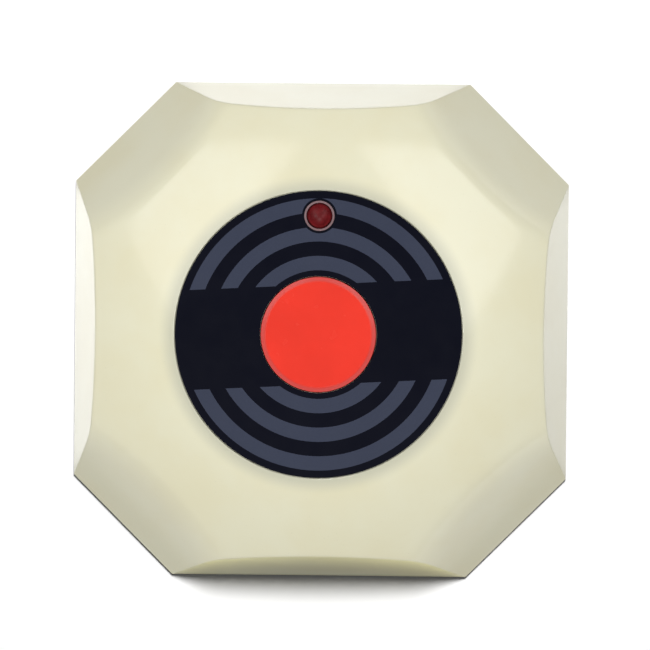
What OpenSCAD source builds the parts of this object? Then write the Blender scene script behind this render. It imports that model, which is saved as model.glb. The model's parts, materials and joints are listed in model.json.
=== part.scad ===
// Table call unit: a domed, corner-cut plastic housing with one push button and one signal lamp.
// Millimetres. The unit lies on its back: +Z leaves the front face, and the table is at z = 0.

/* [Housing] */
// Width of the housing across its flat sides, at the rim
body_w = 88; // [86:1:94]
// Length that each corner cut takes off a side
corner_cut = 17.7; // [15:0.1:19]
// Lean of the four flat sides from upright, in degrees
side_lean = 16; // [13:0.5:18]
// Lean of the four corner faces from upright, in degrees
corner_lean = 32.5; // [30:0.5:34]
// Radius of the domed front
dome_r = 73.5; // [70:0.5:80]
// Height of the label seat above the table
seat_h = 24; // [23.5:0.1:26]
// Depth of the label seat below the dome at its edge
seat_depth = 0.3; // [0.2:0.05:0.5]
// Height over which the dome and a corner face melt into each other
blend = 2.2; // [1:0.1:4]
// Wall thickness of the moulded shell
wall = 2.2; // [1.8:0.1:2.4]
// Thickness of the rim's lip outside the base plate
lip_t = 1; // [0.8:0.1:1.2]
// Thickness of the shell's stiffening ribs
rib_t = 1.2; // [0.8:0.1:1.6]

/* [Base plate and feet] */
// Thickness of the base plate
base_t = 2; // [1.8:0.1:2.4]
// Gap between the base plate and the shell's lip
base_gap = 0.15; // [0.1:0.05:0.3]
// Radius of a rubber foot
foot_r = 4.5; // [4:0.1:5]
// Height of a rubber foot
foot_h = 1.6; // [1.4:0.1:2]
// Depth to which a foot is let into the base plate
foot_seat = 0.6; // [0.4:0.1:0.8]
// Distance of the feet from the middle, across the unit
foot_x = 34; // [32:0.5:35]
// Distance of the feet from the middle, along the unit
foot_y = 18; // [16:0.5:19]

/* [Screws] */
// Distance of each case screw from the middle, across and along
screw_pos = 26.5; // [26:0.1:27]
// Shank radius of a case screw
screw_r = 1.28; // [1.2:0.02:1.4]
// Shank length of a case screw
screw_l = 9; // [8:0.5:10]
// Radius of a case screw's head
screw_head_r = 2.3; // [2.1:0.1:2.5]
// Height of a case screw's head
screw_head_h = 1.7; // [1.4:0.1:1.8]
// Height of the base plate's pads round the case screws
pad_h = 1.6; // [1.2:0.1:2]
// Radius of the shell's case screw bosses
boss_r = 3.2; // [3:0.1:3.6]
// Shank radius of a board screw
board_screw_r = 0.98; // [0.9:0.02:1.05]
// Shank length of a board screw below its head
board_screw_l = 7; // [6:0.5:8]
// Radius of a board screw's head
board_screw_head_r = 1.9; // [1.7:0.1:2.1]
// Height of a board screw's head
board_screw_head_h = 1.4; // [1.2:0.1:1.6]
// Gap between a screw's shank and its hole
thread_gap = 0.04; // [0.02:0.01:0.08]

/* [Face label] */
// Radius of the face label
label_r = 25; // [24:0.1:25.5]
// Thickness of the face label
label_t = 0.3; // [0.2:0.05:0.4]
// Thickness of the adhesive under the label
adhesive_t = 0.1; // [0.05:0.05:0.15]
// Gap between the label and the edge of its seat
label_gap = 0.15; // [0.1:0.05:0.3]
// Number of printed rings
arc_count = 3; // [1:1:3]
// Inner radius of the first printed ring
arc_r = 11.2; // [11:0.1:11.6]
// Width of a printed ring
arc_w = 2.5; // [2:0.1:2.8]
// Step from one printed ring to the next
arc_step = 5; // [4.5:0.1:5]
// Half-height of the plain band across the label
band_half = 8.7; // [7:0.1:10]
// Turn of the label's print, in degrees
print_turn = 3; // [0:0.5:5]
// Thickness of the printed layer
print_t = 0.05; // [0.03:0.01:0.08]
// Bare margin of the print round the lamp
lamp_margin = 0.3; // [0.2:0.05:0.5]

/* [Button] */
// Radius of the button cap
cap_r = 10; // [9.5:0.1:10.4]
// Height of the cap above the label
cap_rise = 0.6; // [0.55:0.05:0.8]
// Travel of the button
travel = 0.5; // [0.3:0.05:0.5]
// Width of the cap's bevelled rim
bevel_w = 0.85; // [0.5:0.05:1.2]
// Depth of the cap's bevelled rim
bevel_d = 0.4; // [0.2:0.05:0.5]
// Thickness of the cap's top
cap_t = 1.6; // [1.2:0.1:1.8]
// Thickness of the cap's skirt
cap_wall = 1.2; // [1:0.1:1.5]
// Width of the cap's stop flange beyond its skirt
flange_w = 1.8; // [1.5:0.1:2]
// Thickness of the stop flange
flange_t = 1.5; // [1.2:0.1:1.7]
// Gap between the stop flange and the shell
flange_gap = 0.1; // [0.05:0.05:0.2]
// Gap all round the cap in its bore
cap_gap = 0.15; // [0.1:0.01:0.2]
// Thickness of the guide collar round the flange
collar_t = 1.2; // [1:0.1:1.6]
// Width of the key that stops the cap from turning
key_w = 1.2; // [1:0.1:1.6]
// Radius of the cap's stem
stem_r = 2; // [1.8:0.1:2.4]

/* [Lamp] */
// Distance of the lamp's middle from the label's edge
lamp_inset = 4.34; // [4.2:0.02:5]
// Radius of the lamp
lamp_r = 2.5; // [2.3:0.05:2.5]
// Length of the lamp's body
lamp_l = 8.6; // [8:0.1:9]
// Width of the lamp's flange beyond its body
lamp_flange_w = 0.4; // [0.3:0.05:0.5]
// Gap round the lamp and round its bezel
lamp_gap = 0.05; // [0.03:0.01:0.08]
// Thickness of the bezel's tube
bezel_t = 0.15; // [0.12:0.01:0.25]
// Width of the bezel's front lip
bezel_lip_w = 0.42; // [0.35:0.01:0.5]
// Height of the bezel's lip above the label
bezel_rise = 0.2; // [0.1:0.05:0.3]
// Height of the lamp's tip above the bezel
lamp_rise = 0.3; // [0.1:0.05:0.4]
// Distance between the lamp's leads
lead_pitch = 2.54; // [2:0.02:2.6]
// Radius of a lead
lead_r = 0.25; // [0.2:0.01:0.3]

/* [Circuit board] */
// Width of the circuit board
board_w = 44; // [42:0.5:44.5]
// Length of the circuit board
board_l = 40; // [39:0.5:40.5]
// Thickness of the circuit board
board_t = 1.6; // [1.2:0.1:1.6]
// Distance of the board's middle above the button's axis
board_y = 7; // [6.5:0.1:7.5]
// Length of the posts that carry the board, below the shell's ceiling
post_l = 8.8; // [8.6:0.1:9.4]
// Radius of a board post
post_r = 2.6; // [2.4:0.1:3]
// Distance of the posts from the board's edges
post_inset = 4; // [3.5:0.1:4.5]
// Distance that a lead or pin reaches below the board
lead_tail = 1; // [0.6:0.1:1.4]

/* [Push switch] */
// Width of the push switch
switch_w = 6; // [5.8:0.1:6.4]
// Height of the switch's body
switch_body_h = 3.5; // [3.3:0.1:3.7]
// Height of the switch from the board to the tip of its plunger
switch_h = 5; // [4.6:0.1:5.2]
// Thickness of the switch's steel cover
cover_t = 0.3; // [0.2:0.05:0.4]
// Radius of the plunger
plunger_r = 1.75; // [1.6:0.05:1.8]
// Width of the plunger's flange
plunger_flange_w = 0.45; // [0.3:0.05:0.5]
// Thickness of the switch's floor
switch_floor_t = 0.9; // [0.7:0.1:1]
// Height of the snap dome
snap_h = 1.1; // [1:0.05:1.15]

/* [Radio parts] */
// Length of the encoder chip
chip_l = 10; // [9.6:0.1:10.4]
// Width of the encoder chip
chip_w = 4; // [3.8:0.1:4.4]
// Height of the encoder chip
chip_h = 1.6; // [1.4:0.1:1.8]
// Number of legs along one side of the chip
chip_legs_n = 8; // [6:1:8]
// Distance between two legs
leg_pitch = 1.27; // [1.2:0.01:1.27]
// Radius of the resonator's can
can_r = 4.2; // [4:0.1:4.6]
// Height of the resonator's can
can_h = 3.2; // [3:0.1:3.6]
// Radius of the antenna coil, to the middle of its wire
coil_r = 2.2; // [2:0.05:2.4]
// Radius of the antenna coil's wire
coil_wire_r = 0.4; // [0.35:0.01:0.42]
// Step from one turn of the antenna coil to the next
coil_pitch = 1.3; // [1.26:0.01:1.4]

/* [Battery bay] */
// Radius of the battery
battery_r = 5.15; // [5.05:0.05:5.25]
// Length of the battery with its positive tip
battery_l = 28.5; // [28:0.1:29]
// Gap round the battery in its bay
battery_gap = 0.35; // [0.2:0.05:0.4]
// Distance of the battery's axis from the housing's lower side, at the rim
bay_inset = 21; // [20.6:0.1:21.4]
// Room at the negative end for the spring
spring_room = 4.5; // [4.3:0.1:5]
// Wall thickness of the bay
bay_wall = 1.2; // [1:0.1:1.4]
// Thickness of a contact plate
contact_t = 0.4; // [0.3:0.05:0.5]
// Half-width of a contact plate
contact_half = 3.6; // [3.2:0.1:3.8]
// Radius of the spring's wire
spring_wire_r = 0.3; // [0.25:0.01:0.3]
// Radius of the spring at its contact plate
spring_r = 3.4; // [3.2:0.1:3.5]
// Radius of a wire lead with its insulation
wire_r = 0.6; // [0.5:0.05:0.7]

/* [Battery door] */
// Thickness of the battery door
door_t = 1.4; // [1.3:0.05:1.5]
// Distance that the door laps past the bay, across the unit
door_lap_x = 1.8; // [1.6:0.1:2]
// Distance that the door laps past the bay, along the unit
door_lap_y = 2; // [1.8:0.1:2.2]
// Gap round the door
door_gap = 0.15; // [0.1:0.05:0.2]
// Radius of the door's hinge noses
nose_r = 0.45; // [0.4:0.01:0.48]
// Length of a hinge nose beyond the door
nose_l = 0.9; // [0.7:0.1:1.1]
// Gap between a hinge nose and its socket
nose_gap = 0.05; // [0.03:0.01:0.06]

/* [Hidden] */
$fn = 96;
// Overshoot of a cut past the face that it opens
over = 1;
// Height that is above everything inside the shell
far_up = 40;

// Heights of the shell and the base plate
base_z = foot_h - foot_seat;
ledge_z = base_z + base_t;
boss_z = ledge_z + pad_h;
ceiling_z = seat_h - wall;
seat_r = label_r + label_gap;
dome_z = seat_h + seat_depth - sqrt(dome_r * dome_r - seat_r * seat_r);
corner_q = (body_w - corner_cut) / sqrt(2);
rebate_half = body_w / 2 - base_t * tan(side_lean) - lip_t;
rebate_q = corner_q - base_t * tan(corner_lean) - lip_t;

// Heights of the label and the button
adhesive_z = seat_h + adhesive_t;
label_z = adhesive_z + label_t;
cap_z = label_z + cap_rise;
flange_z = ceiling_z - flange_gap;
flange_low_z = flange_z - flange_t;
flange_r = cap_r + flange_w;
flange_side_gap = 0.2;
collar_r = flange_r + flange_side_gap;
collar_drop = flange_t + travel + 1.8;
key_depth = 0.9;
key_gap = 0.2;
cap_rib_t = 1;

// Heights on the circuit board
board_z = ceiling_z - post_l;
board_low_z = board_z - board_t;
pin_low_z = board_low_z - lead_tail;
plunger_z = board_z + switch_h;
switch_top_z = board_z + switch_body_h;
well_z = board_z + switch_floor_t;
well_r = plunger_r + plunger_flange_w + 0.3;
snap_t = 0.12;
snap_r = well_r - 0.1;
plunger_low_z = well_z + snap_h + 0.05;
cover_gap = 0.1;
pin_w = 0.7;
pin_t = 0.3;
pin_y = 2.25;
pin_hole_r = 0.6;
lead_hole_r = 0.45;
board_hole_r = board_screw_r + 0.2;
post_x = board_w / 2 - post_inset;
post_low_y = board_y - board_l / 2 + post_inset;
post_high_y = board_y + board_l / 2 - post_inset;
board_screw_places = [for (x = [-post_x, post_x], y = [post_low_y, post_high_y]) [x, y]];
case_screw_places = [for (x = [-1, 1], y = [-1, 1]) [x * screw_pos, y * screw_pos]];
switch_pin_places = [for (sx = [-1, 1], sy = [-1, 1]) [sx * (switch_w + pin_t) / 2, sy * pin_y]];
lamp_y = label_r - lamp_inset;
lead_places = [for (s = [-1, 1]) [s * lead_pitch / 2, lamp_y]];

// Lamp
bezel_r = lamp_r + lamp_gap + bezel_t;
bezel_z = label_z + bezel_rise;
bezel_lip_t = bezel_rise + label_t + adhesive_t;
lamp_hole_r = bezel_r + lamp_gap;
lamp_z = bezel_z + lamp_rise;
lamp_low_z = lamp_z - lamp_l;
lamp_flange_t = 1;
lamp_sleeve_r = lamp_hole_r + rib_t;
lamp_sleeve_drop = 2;

// Places of the radio parts on the board, from the button's axis
chip_at = [-12, 2];
can_at = [13, 11];
can_rim_w = 0.5;
can_pin_pitch = 2.54;
can_pin_places = [for (i = [-1, 0, 1]) [can_at[0] + i * can_pin_pitch, can_at[1]]];
coil_at = [-15, 14];
resistors_at = [-18, 8];
resistor_size = [2, 1.25, 0.6];
capacitors_at = [6.5, 2.4];
capacitor_size = [1.25, 2, 0.9];
transistor_at = [8, -6];
transistor_size = [2.9, 1.3, 1.1];
can_capacitor_at = [-9, -7];
can_capacitor_r = 2.5;
can_capacitor_h = 3;
chip_step = 3;
coil_turns = 5.5;
coil_z = board_z + coil_r + coil_wire_r + 0.1;

// Battery bay and door
bay_y = body_w / 2 - bay_inset;
bay_r = battery_r + battery_gap;
bay_half = (battery_l + spring_room + 1) / 2;
battery_z = base_z + door_t + battery_r + 0.55;
contact_x = bay_half - 0.1 - contact_t;
tip_l = 1;
tip_r = 1.8;
cell_high_x = contact_x - tip_l;
cell_low_x = contact_x - battery_l;
terminal_t = 0.15;
contact_low_z = base_z + door_t + 1.2;
contact_high_z = battery_z + sqrt(bay_r * bay_r - contact_half * contact_half) - 0.2;
bay_top_z = battery_z + bay_r + bay_wall;
tab_half = 1;
tab_z = bay_top_z + 2.2;
tab_slot_gap = 0.3;
frame_h = 0.8;
frame_w = 1.4;
door_half_x = bay_half + door_lap_x;
door_half_y = bay_r + door_lap_y;
hinge_r = door_t / 2;
hinge_y = -bay_y + door_half_y - hinge_r;
hinge_z = base_z + hinge_r;
door_ledge_gap = 0.1;
cradle_gap = 0.1;
cradle_t = 1.5;
cradle_half = 2.4;
cradle_x = 9;
latch_t = 0.6;
latch_h = 1.4;
latch_gap = 0.3;
latch_half = 4;
thumb_r = 4.5;
thumb_depth = 1;
spring_turns = 3.5;
spring_end_r = 1.8;

// Ends of the wire leads on the board
wire_x = 10;
wire_y = 11.2;
wire_z = tab_z - 0.9;

// Rings and angles of the shell's two skins
outer_steps = [11, 4, 14];
inner_steps = [5, 2, 7];
ring_lift = 0.4;

// Lowest of two heights, with a soft change from one to the other
function soft_min(a, b) = min(a, b) - pow(max(blend - abs(a - b), 0), 2) / (4 * blend);

// Half-width of the flat sides at height z, drawn in by a wall t
function side_half(z, t) = body_w / 2 - t / cos(side_lean) - (z - base_z) * tan(side_lean);

// Distance of the corner faces from the middle at height z, drawn in by a wall t
function corner_reach(z, t) = corner_q - t / cos(corner_lean) - (z - base_z) * tan(corner_lean);

// The same two distances measured along plan angle a
function side_run(a, z, t) = side_half(z, t) / max(abs(cos(a)), abs(sin(a)));
function corner_run(a, z, t) = corner_reach(z, t) * sqrt(2) / (abs(cos(a)) + abs(sin(a)));

// Height of the dome and of the corner faces, drawn in by a wall t
function dome_top(r, t) = dome_z + sqrt(max(pow(dome_r - t, 2) - r * r, 0));
function corner_top(q, t) = base_z + (corner_q - q) / tan(corner_lean) - t / sin(corner_lean);

// Height of the front skin at radius r and plan angle a; a cavity also stops at its ceiling
function skin_top(r, a, t) = min(
    soft_min(dome_top(r, t), corner_top(r * (abs(cos(a)) + abs(sin(a))) / sqrt(2), t)),
    t > 0 ? seat_h - t : far_up);

// Height at which a flat side meets the front skin, found by halving
function edge_z(a, t, low, high, n = 22) =
    n == 0 ? (low + high) / 2
    : let (mid = (low + high) / 2)
    skin_top(side_run(a, mid, t), a, t) > mid
        ? edge_z(a, t, mid, high, n - 1)
        : edge_z(a, t, low, mid, n - 1);

// Plan angle of an octagon's corner at height z, drawn in by a wall t
function corner_angle(z, t) =
    let (h = side_half(z, t)) atan2(corner_reach(z, t) * sqrt(2) - h, h);

// Plan angles from the middle of a side to the middle of a corner face, closest near the corner
function eighth_angles(z, t, steps) =
    let (c = corner_angle(z, t))
    concat(
        [for (i = [0:steps[0] - 1]) c * (1 - pow(1 - i / steps[0], 1.6))],
        [for (i = [0:steps[1] - 1]) c + (45 - c) * i / steps[1]]);

// Plan angles all the way round
function plan_angles(z, t, steps) =
    let (e = eighth_angles(z, t, steps), n = len(e))
    [for (q = [0:3]) each concat(
        [for (i = [0:n - 1]) 90 * q + e[i]],
        [45 + 90 * q],
        [for (i = [n - 1:-1:1]) 90 * (q + 1) - e[i]])];

// Rings of the front skin along one angle: rim, side edge, then steps in to radius r_in
function skin_run(a, z, t, r_in, rings) =
    let (edge = edge_z(a, t, z, seat_h), flat = edge > z + ring_lift)
    let (z1 = flat ? edge : z + ring_lift)
    let (r1 = flat ? side_run(a, z1, t) : corner_run(a, z1, t))
    concat(
        [[min(side_run(a, z, t), corner_run(a, z, t)), z], [r1, z1]],
        [for (k = [1:rings]) let (r = r1 + (r_in - r1) * k / rings) [r, skin_top(r, a, t)]]);

// Closed skin of the front: the outer one at t = 0, the cavity at t = wall
module skin(z, t, r_in, steps) {
    angles = plan_angles(z, t, steps);
    n = len(angles);
    runs = [for (a = angles) skin_run(a, z, t, r_in, steps[2])];
    rows = len(runs[0]);
    points = concat(
        [for (k = [0:rows - 1], i = [0:n - 1]) [
            runs[i][k][0] * cos(angles[i]), runs[i][k][0] * sin(angles[i]), runs[i][k][1]]],
        [[0, 0, z], [0, 0, runs[0][rows - 1][1]]]);
    walls = [for (k = [0:rows - 2], i = [0:n - 1])
        let (j = (i + 1) % n, a = k * n + i, b = k * n + j, c = a + n, d = b + n, m = angles[i] % 90)
        each m < 45 ? [[a, c, b], [b, c, d]] : [[a, c, d], [a, d, b]]];
    floors = [for (i = [0:n - 1]) [rows * n, i, (i + 1) % n]];
    tops = [for (i = [0:n - 1]) [rows * n + 1, (rows - 1) * n + (i + 1) % n, (rows - 1) * n + i]];
    polyhedron(points, concat(walls, floors, tops), convexity = 6);
}

// Octagon with flat sides at distance h and corner faces at distance q
function octagon(h, q) =
    let (v = q * sqrt(2) - h)
    [[h, -v], [h, v], [v, h], [-v, h], [-h, v], [-h, -v], [-v, -h], [v, -h]];

// Points of a round tube along a path, with its rings square to the path
function tube_points(path, r, sides, guide) =
    let (n = len(path))
    [for (k = [0:n - 1])
        let (ahead = path[min(k + 1, n - 1)] - path[max(k - 1, 0)])
        let (u = cross(ahead, guide) / norm(cross(ahead, guide)))
        let (v = cross(ahead, u) / norm(ahead))
        for (i = [0:sides - 1]) path[k] + r * (cos(360 * i / sides) * u + sin(360 * i / sides) * v)];

module tube(path, r, sides, guide) {
    n = len(path);
    walls = [for (k = [0:n - 2], i = [0:sides - 1])
        let (j = (i + 1) % sides, a = k * sides + i, b = k * sides + j)
        each [[a, b, b + sides], [a, b + sides, a + sides]]];
    first = [for (i = [1:sides - 2]) [0, i + 1, i]];
    last = [for (i = [1:sides - 2]) (n - 1) * sides * [1, 1, 1] + [0, i, i + 1]];
    polyhedron(tube_points(path, r, sides, guide), concat(walls, first, last), convexity = 8);
}

// Least distance between the turns of a coil, less its wire
function turn_gap(path, r, skip) =
    min([for (i = [0:len(path) - 1 - skip], j = [i + skip:len(path) - 1]) norm(path[i] - path[j])]) - 2 * r;

// Antenna coil: a leg up from the board, turns along X, and a leg down
coil_rings = 10;
coil_path = concat(
    [[coil_at[0], coil_at[1] - coil_r, board_z], [coil_at[0], coil_at[1] - coil_r, (board_z + coil_z) / 2]],
    [for (i = [0:coil_turns * coil_rings]) let (a = 180 - 360 * i / coil_rings) [
        coil_at[0] + coil_pitch * i / coil_rings, coil_at[1] + coil_r * cos(a), coil_z + coil_r * sin(a)]],
    [for (z = [(board_z + coil_z) / 2, board_z]) [
        coil_at[0] + coil_pitch * coil_turns, coil_at[1] + coil_r, z]]);

// Battery spring: a cone of turns between the negative contact and the battery
spring_rings = 10;
spring_start_x = -contact_x + spring_wire_r + 0.05;
spring_end_x = cell_low_x - terminal_t - spring_wire_r - 0.05;
spring_steps = spring_turns * spring_rings;
spring_path = [for (i = [0:spring_steps])
    let (s = i / spring_steps, r = spring_r + (spring_end_r - spring_r) * s, a = 360 * i / spring_rings)
    [spring_start_x + (spring_end_x - spring_start_x) * s, -bay_y + r * cos(a), battery_z + r * sin(a)]];

echo(antenna_turn_gap = turn_gap(coil_path, coil_wire_r, coil_rings - 2));
echo(spring_turn_gap = turn_gap(spring_path, spring_wire_r, spring_rings - 2));

// Wire lead from the contact's tab to the board: one smooth bend between two short straight ends
wire_rings = 12;
wire_bend = 4;
wire_end = 0.6;
function bend(p, s) =
    pow(1 - s, 3) * p[0] + 3 * pow(1 - s, 2) * s * p[1] + 3 * (1 - s) * s * s * p[2] + pow(s, 3) * p[3];
wire_guides = [
    [contact_x - wire_end, -bay_y, wire_z],
    [contact_x - wire_end - wire_bend, -bay_y, wire_z],
    [wire_x, -wire_y, board_z + wire_end + 1.3 * wire_bend],
    [wire_x, -wire_y, board_z + wire_end]];
wire_path = concat(
    [[contact_x, -bay_y, wire_z]],
    [for (k = [0:wire_rings]) bend(wire_guides, k / wire_rings)],
    [[wire_x, -wire_y, board_z]]);

module at_each(places) {
    for (p = places) translate([p[0], p[1], 0]) children();
}

// Posts, bosses, collar and ribs that stand in the shell's cavity
module shell_inner_forms() {
    at_each(case_screw_places) translate([0, 0, boss_z]) cylinder(r = boss_r, h = far_up);
    at_each(board_screw_places) translate([0, 0, board_z]) cylinder(r = post_r, h = far_up);
    // Ribs that tie each case boss to the two walls beside it
    for (sx = [-1, 1], sy = [-1, 1]) {
        translate([sx * (screw_pos + far_up / 2), sy * screw_pos, boss_z + 2 + far_up / 2])
            cube([far_up, rib_t, far_up], center = true);
        translate([sx * screw_pos, sy * (screw_pos + far_up / 2), boss_z + 2 + far_up / 2])
            cube([rib_t, far_up, far_up], center = true);
    }
    // Guide collar with its key
    translate([0, 0, ceiling_z - collar_drop]) difference() {
        cylinder(r = collar_r + collar_t, h = far_up);
        translate([0, 0, -over]) cylinder(r = collar_r, h = far_up + 2 * over);
    }
    translate([-key_w / 2, -collar_r - collar_t / 2, ceiling_z - collar_drop])
        cube([key_w, collar_t / 2 + key_depth, far_up]);
    // Sleeve round the lamp
    translate([0, lamp_y, ceiling_z - lamp_sleeve_drop]) cylinder(r = lamp_sleeve_r, h = far_up);
}

module top_shell() {
    color("#ebe8cf") difference() {
        skin(base_z, 0, seat_r - 0.6, outer_steps);
        difference() {
            skin(base_z + base_t / 2, wall, seat_r, inner_steps);
            shell_inner_forms();
        }
        // Rebate that takes the base plate
        translate([0, 0, base_z - over]) linear_extrude(base_t + over)
            polygon(octagon(rebate_half, rebate_q));
        // Label seat, button bore and lamp hole
        translate([0, 0, seat_h]) cylinder(r = seat_r, h = far_up);
        translate([0, 0, ceiling_z - 0.5]) cylinder(r = cap_r + cap_gap, h = far_up);
        translate([0, lamp_y, ceiling_z - lamp_sleeve_drop - over]) cylinder(r = lamp_hole_r, h = far_up);
        // Pilot holes
        at_each(case_screw_places) translate([0, 0, boss_z - over])
            cylinder(r = screw_r + thread_gap, h = screw_l - pad_h + over + 1);
        at_each(board_screw_places) translate([0, 0, board_z - over])
            cylinder(r = board_screw_r + thread_gap, h = board_screw_l - board_t + over + 0.6);
    }
}

// Round-roofed block along X with its flat side down
module bay_form(r, half, low_z) {
    translate([-half, -bay_y, battery_z]) rotate([0, 90, 0]) cylinder(r = r, h = 2 * half);
    translate([-half, -bay_y - r, low_z]) cube([2 * half, 2 * r, battery_z - low_z]);
}

module base_plate() {
    color("#d9d6bd") difference() {
        union() {
            translate([0, 0, base_z]) linear_extrude(base_t)
                polygon(octagon(rebate_half - base_gap, rebate_q - base_gap));
            at_each(case_screw_places) translate([0, 0, base_z])
                cylinder(r = boss_r + 1, h = boss_z - base_z);
            bay_form(bay_r + bay_wall, bay_half + bay_wall, base_z);
            // Raised frame over the door's ledge
            translate([-door_half_x - frame_w, -bay_y - door_half_y - frame_w, base_z])
                cube([2 * (door_half_x + frame_w), 2 * (door_half_y + frame_w), base_t + frame_h]);
        }
        bay_form(bay_r, bay_half, base_z - over);
        // Slots for the contacts' tabs
        for (s = [-1, 1]) translate([s * (contact_x + contact_t / 2), -bay_y, bay_top_z])
            cube([contact_t + tab_slot_gap, 2 * tab_half + tab_slot_gap, 2 * bay_r], center = true);
        // Door recess, its hinge sockets and the thumb notch
        translate([-door_half_x - door_gap, -bay_y - door_half_y - door_gap, base_z - over])
            cube([2 * (door_half_x + door_gap), 2 * (door_half_y + door_gap),
                  door_t + door_ledge_gap + over]);
        translate([-door_half_x - nose_l - door_gap, hinge_y, hinge_z]) rotate([0, 90, 0])
            cylinder(r = nose_r + nose_gap, h = 2 * (door_half_x + nose_l + door_gap));
        translate([0, -bay_y - door_half_y, base_z - over]) cylinder(r = thumb_r, h = thumb_depth + over);
        // Screw holes with counterbores
        at_each(case_screw_places) translate([0, 0, base_z - over]) {
            cylinder(r = screw_r + 0.25, h = base_t + pad_h + 2 * over);
            cylinder(r = screw_head_r + 0.2, h = base_t + over);
        }
        // Seats of the feet
        for (sx = [-1, 1], sy = [-1, 1]) translate([sx * foot_x, sy * foot_y, base_z - over])
            cylinder(r = foot_r + 0.1, h = foot_seat + over);
    }
}

module face_label() {
    color("#14141c") difference() {
        translate([0, 0, adhesive_z]) cylinder(r = label_r, h = label_t);
        translate([0, 0, seat_h - over]) cylinder(r = cap_r + 1.3 * cap_gap, h = far_up);
        translate([0, lamp_y, seat_h - over]) cylinder(r = lamp_hole_r, h = far_up);
    }
}

module label_adhesive() {
    color("#e8e4d8") difference() {
        translate([0, 0, seat_h]) cylinder(r = label_r - 0.4, h = adhesive_t);
        translate([0, 0, seat_h - over]) cylinder(r = cap_r + 4 * cap_gap, h = 2 * over);
        translate([0, lamp_y, seat_h - over]) cylinder(r = lamp_hole_r + lamp_margin, h = 2 * over);
    }
}

module label_arcs() {
    color("#43485a") rotate([0, 0, print_turn]) difference() {
        for (i = [0:arc_count - 1]) difference() {
            translate([0, 0, label_z]) cylinder(r = arc_r + arc_w + i * arc_step, h = print_t);
            translate([0, 0, label_z - over]) cylinder(r = arc_r + i * arc_step, h = 2 * over);
        }
        translate([-2 * label_r, -band_half, label_z - over]) cube([4 * label_r, 2 * band_half, 2 * over]);
        rotate([0, 0, -print_turn]) translate([0, lamp_y, label_z - over])
            cylinder(r = lamp_hole_r + lamp_margin, h = 2 * over);
    }
}

module button_cap() {
    skirt_r = cap_r - cap_wall;
    roof_z = cap_z - cap_t;
    color("#f0402f") difference() {
        union() {
            rotate_extrude() polygon([
                [0, cap_z], [cap_r - bevel_w, cap_z], [cap_r, cap_z - bevel_d], [cap_r, flange_z],
                [flange_r, flange_z], [flange_r, flange_low_z], [skirt_r, flange_low_z],
                [skirt_r, roof_z], [stem_r, roof_z], [stem_r, plunger_z], [0, plunger_z]]);
            // Ribs between the stem and the skirt
            for (a = [0:60:300]) rotate([0, 0, a]) translate([stem_r - 0.5, -cap_rib_t / 2, flange_low_z])
                cube([skirt_r - stem_r + 1, cap_rib_t, roof_z - flange_low_z + 0.2]);
        }
        // Notch for the key
        translate([-key_w / 2 - key_gap, -flange_r - over, flange_low_z - over])
            cube([key_w + 2 * key_gap, over + flange_r - collar_r + key_depth + key_gap, flange_t + over]);
    }
}

module lamp_lens() {
    shoulder_z = lamp_z - lamp_r;
    color("#8c1f22") translate([0, lamp_y, 0]) {
        translate([0, 0, lamp_low_z]) cylinder(r = lamp_r + lamp_flange_w, h = lamp_flange_t);
        translate([0, 0, lamp_low_z]) cylinder(r = lamp_r, h = shoulder_z - lamp_low_z);
        translate([0, 0, shoulder_z]) intersection() {
            sphere(r = lamp_r);
            translate([0, 0, -over]) cylinder(r = 2 * lamp_r, h = far_up);
        }
    }
}

module lamp_leads() {
    color("silver") at_each(lead_places) translate([0, 0, pin_low_z])
        cylinder(r = lead_r, h = lamp_low_z - pin_low_z);
}

module lamp_bezel() {
    lip_z = bezel_z - bezel_lip_t;
    color("#c3b3b0") translate([0, lamp_y, 0]) rotate_extrude() polygon([
        [lamp_r + lamp_gap, ceiling_z], [bezel_r, ceiling_z], [bezel_r, bezel_z - 0.1],
        [bezel_r - 0.1, bezel_z], [bezel_r - bezel_lip_w, bezel_z], [bezel_r - bezel_lip_w, lip_z],
        [lamp_r + lamp_gap, lip_z]]);
}

module circuit_board() {
    color("#2f6b3c") difference() {
        translate([-board_w / 2, board_y - board_l / 2, board_low_z]) cube([board_w, board_l, board_t]);
        translate([0, 0, board_low_z - over]) {
            at_each(board_screw_places) cylinder(r = board_hole_r, h = board_t + 2 * over);
            at_each(lead_places) cylinder(r = lead_hole_r, h = board_t + 2 * over);
            at_each(switch_pin_places) cylinder(r = pin_hole_r, h = board_t + 2 * over);
            at_each(can_pin_places) cylinder(r = lead_hole_r, h = board_t + 2 * over);
        }
    }
}

module switch_base() {
    color("#1c1c1e") difference() {
        translate([-switch_w / 2, -switch_w / 2, board_z])
            cube([switch_w, switch_w, switch_body_h - cover_t]);
        translate([0, 0, well_z]) cylinder(r = well_r, h = far_up);
    }
}

module switch_cover() {
    color("#c9c9cc") difference() {
        translate([-switch_w / 2, -switch_w / 2, switch_top_z - cover_t]) cube([switch_w, switch_w, cover_t]);
        translate([0, 0, board_z]) cylinder(r = plunger_r + cover_gap, h = far_up);
    }
}

module switch_plunger() {
    color("#2a2a2d") {
        translate([0, 0, plunger_low_z]) cylinder(r = plunger_r, h = plunger_z - plunger_low_z);
        translate([0, 0, plunger_low_z])
            cylinder(r = plunger_r + plunger_flange_w, h = switch_top_z - cover_t - 0.05 - plunger_low_z);
    }
}

module snap_dome() {
    ball_r = (snap_r * snap_r + snap_h * snap_h) / (2 * snap_h);
    color("#d8d8da") translate([0, 0, well_z]) difference() {
        translate([0, 0, snap_h - ball_r]) sphere(r = ball_r);
        translate([0, 0, snap_h - ball_r]) sphere(r = ball_r - snap_t);
        translate([0, 0, -2 * ball_r]) cylinder(r = 2 * ball_r, h = 2 * ball_r);
    }
}

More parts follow.
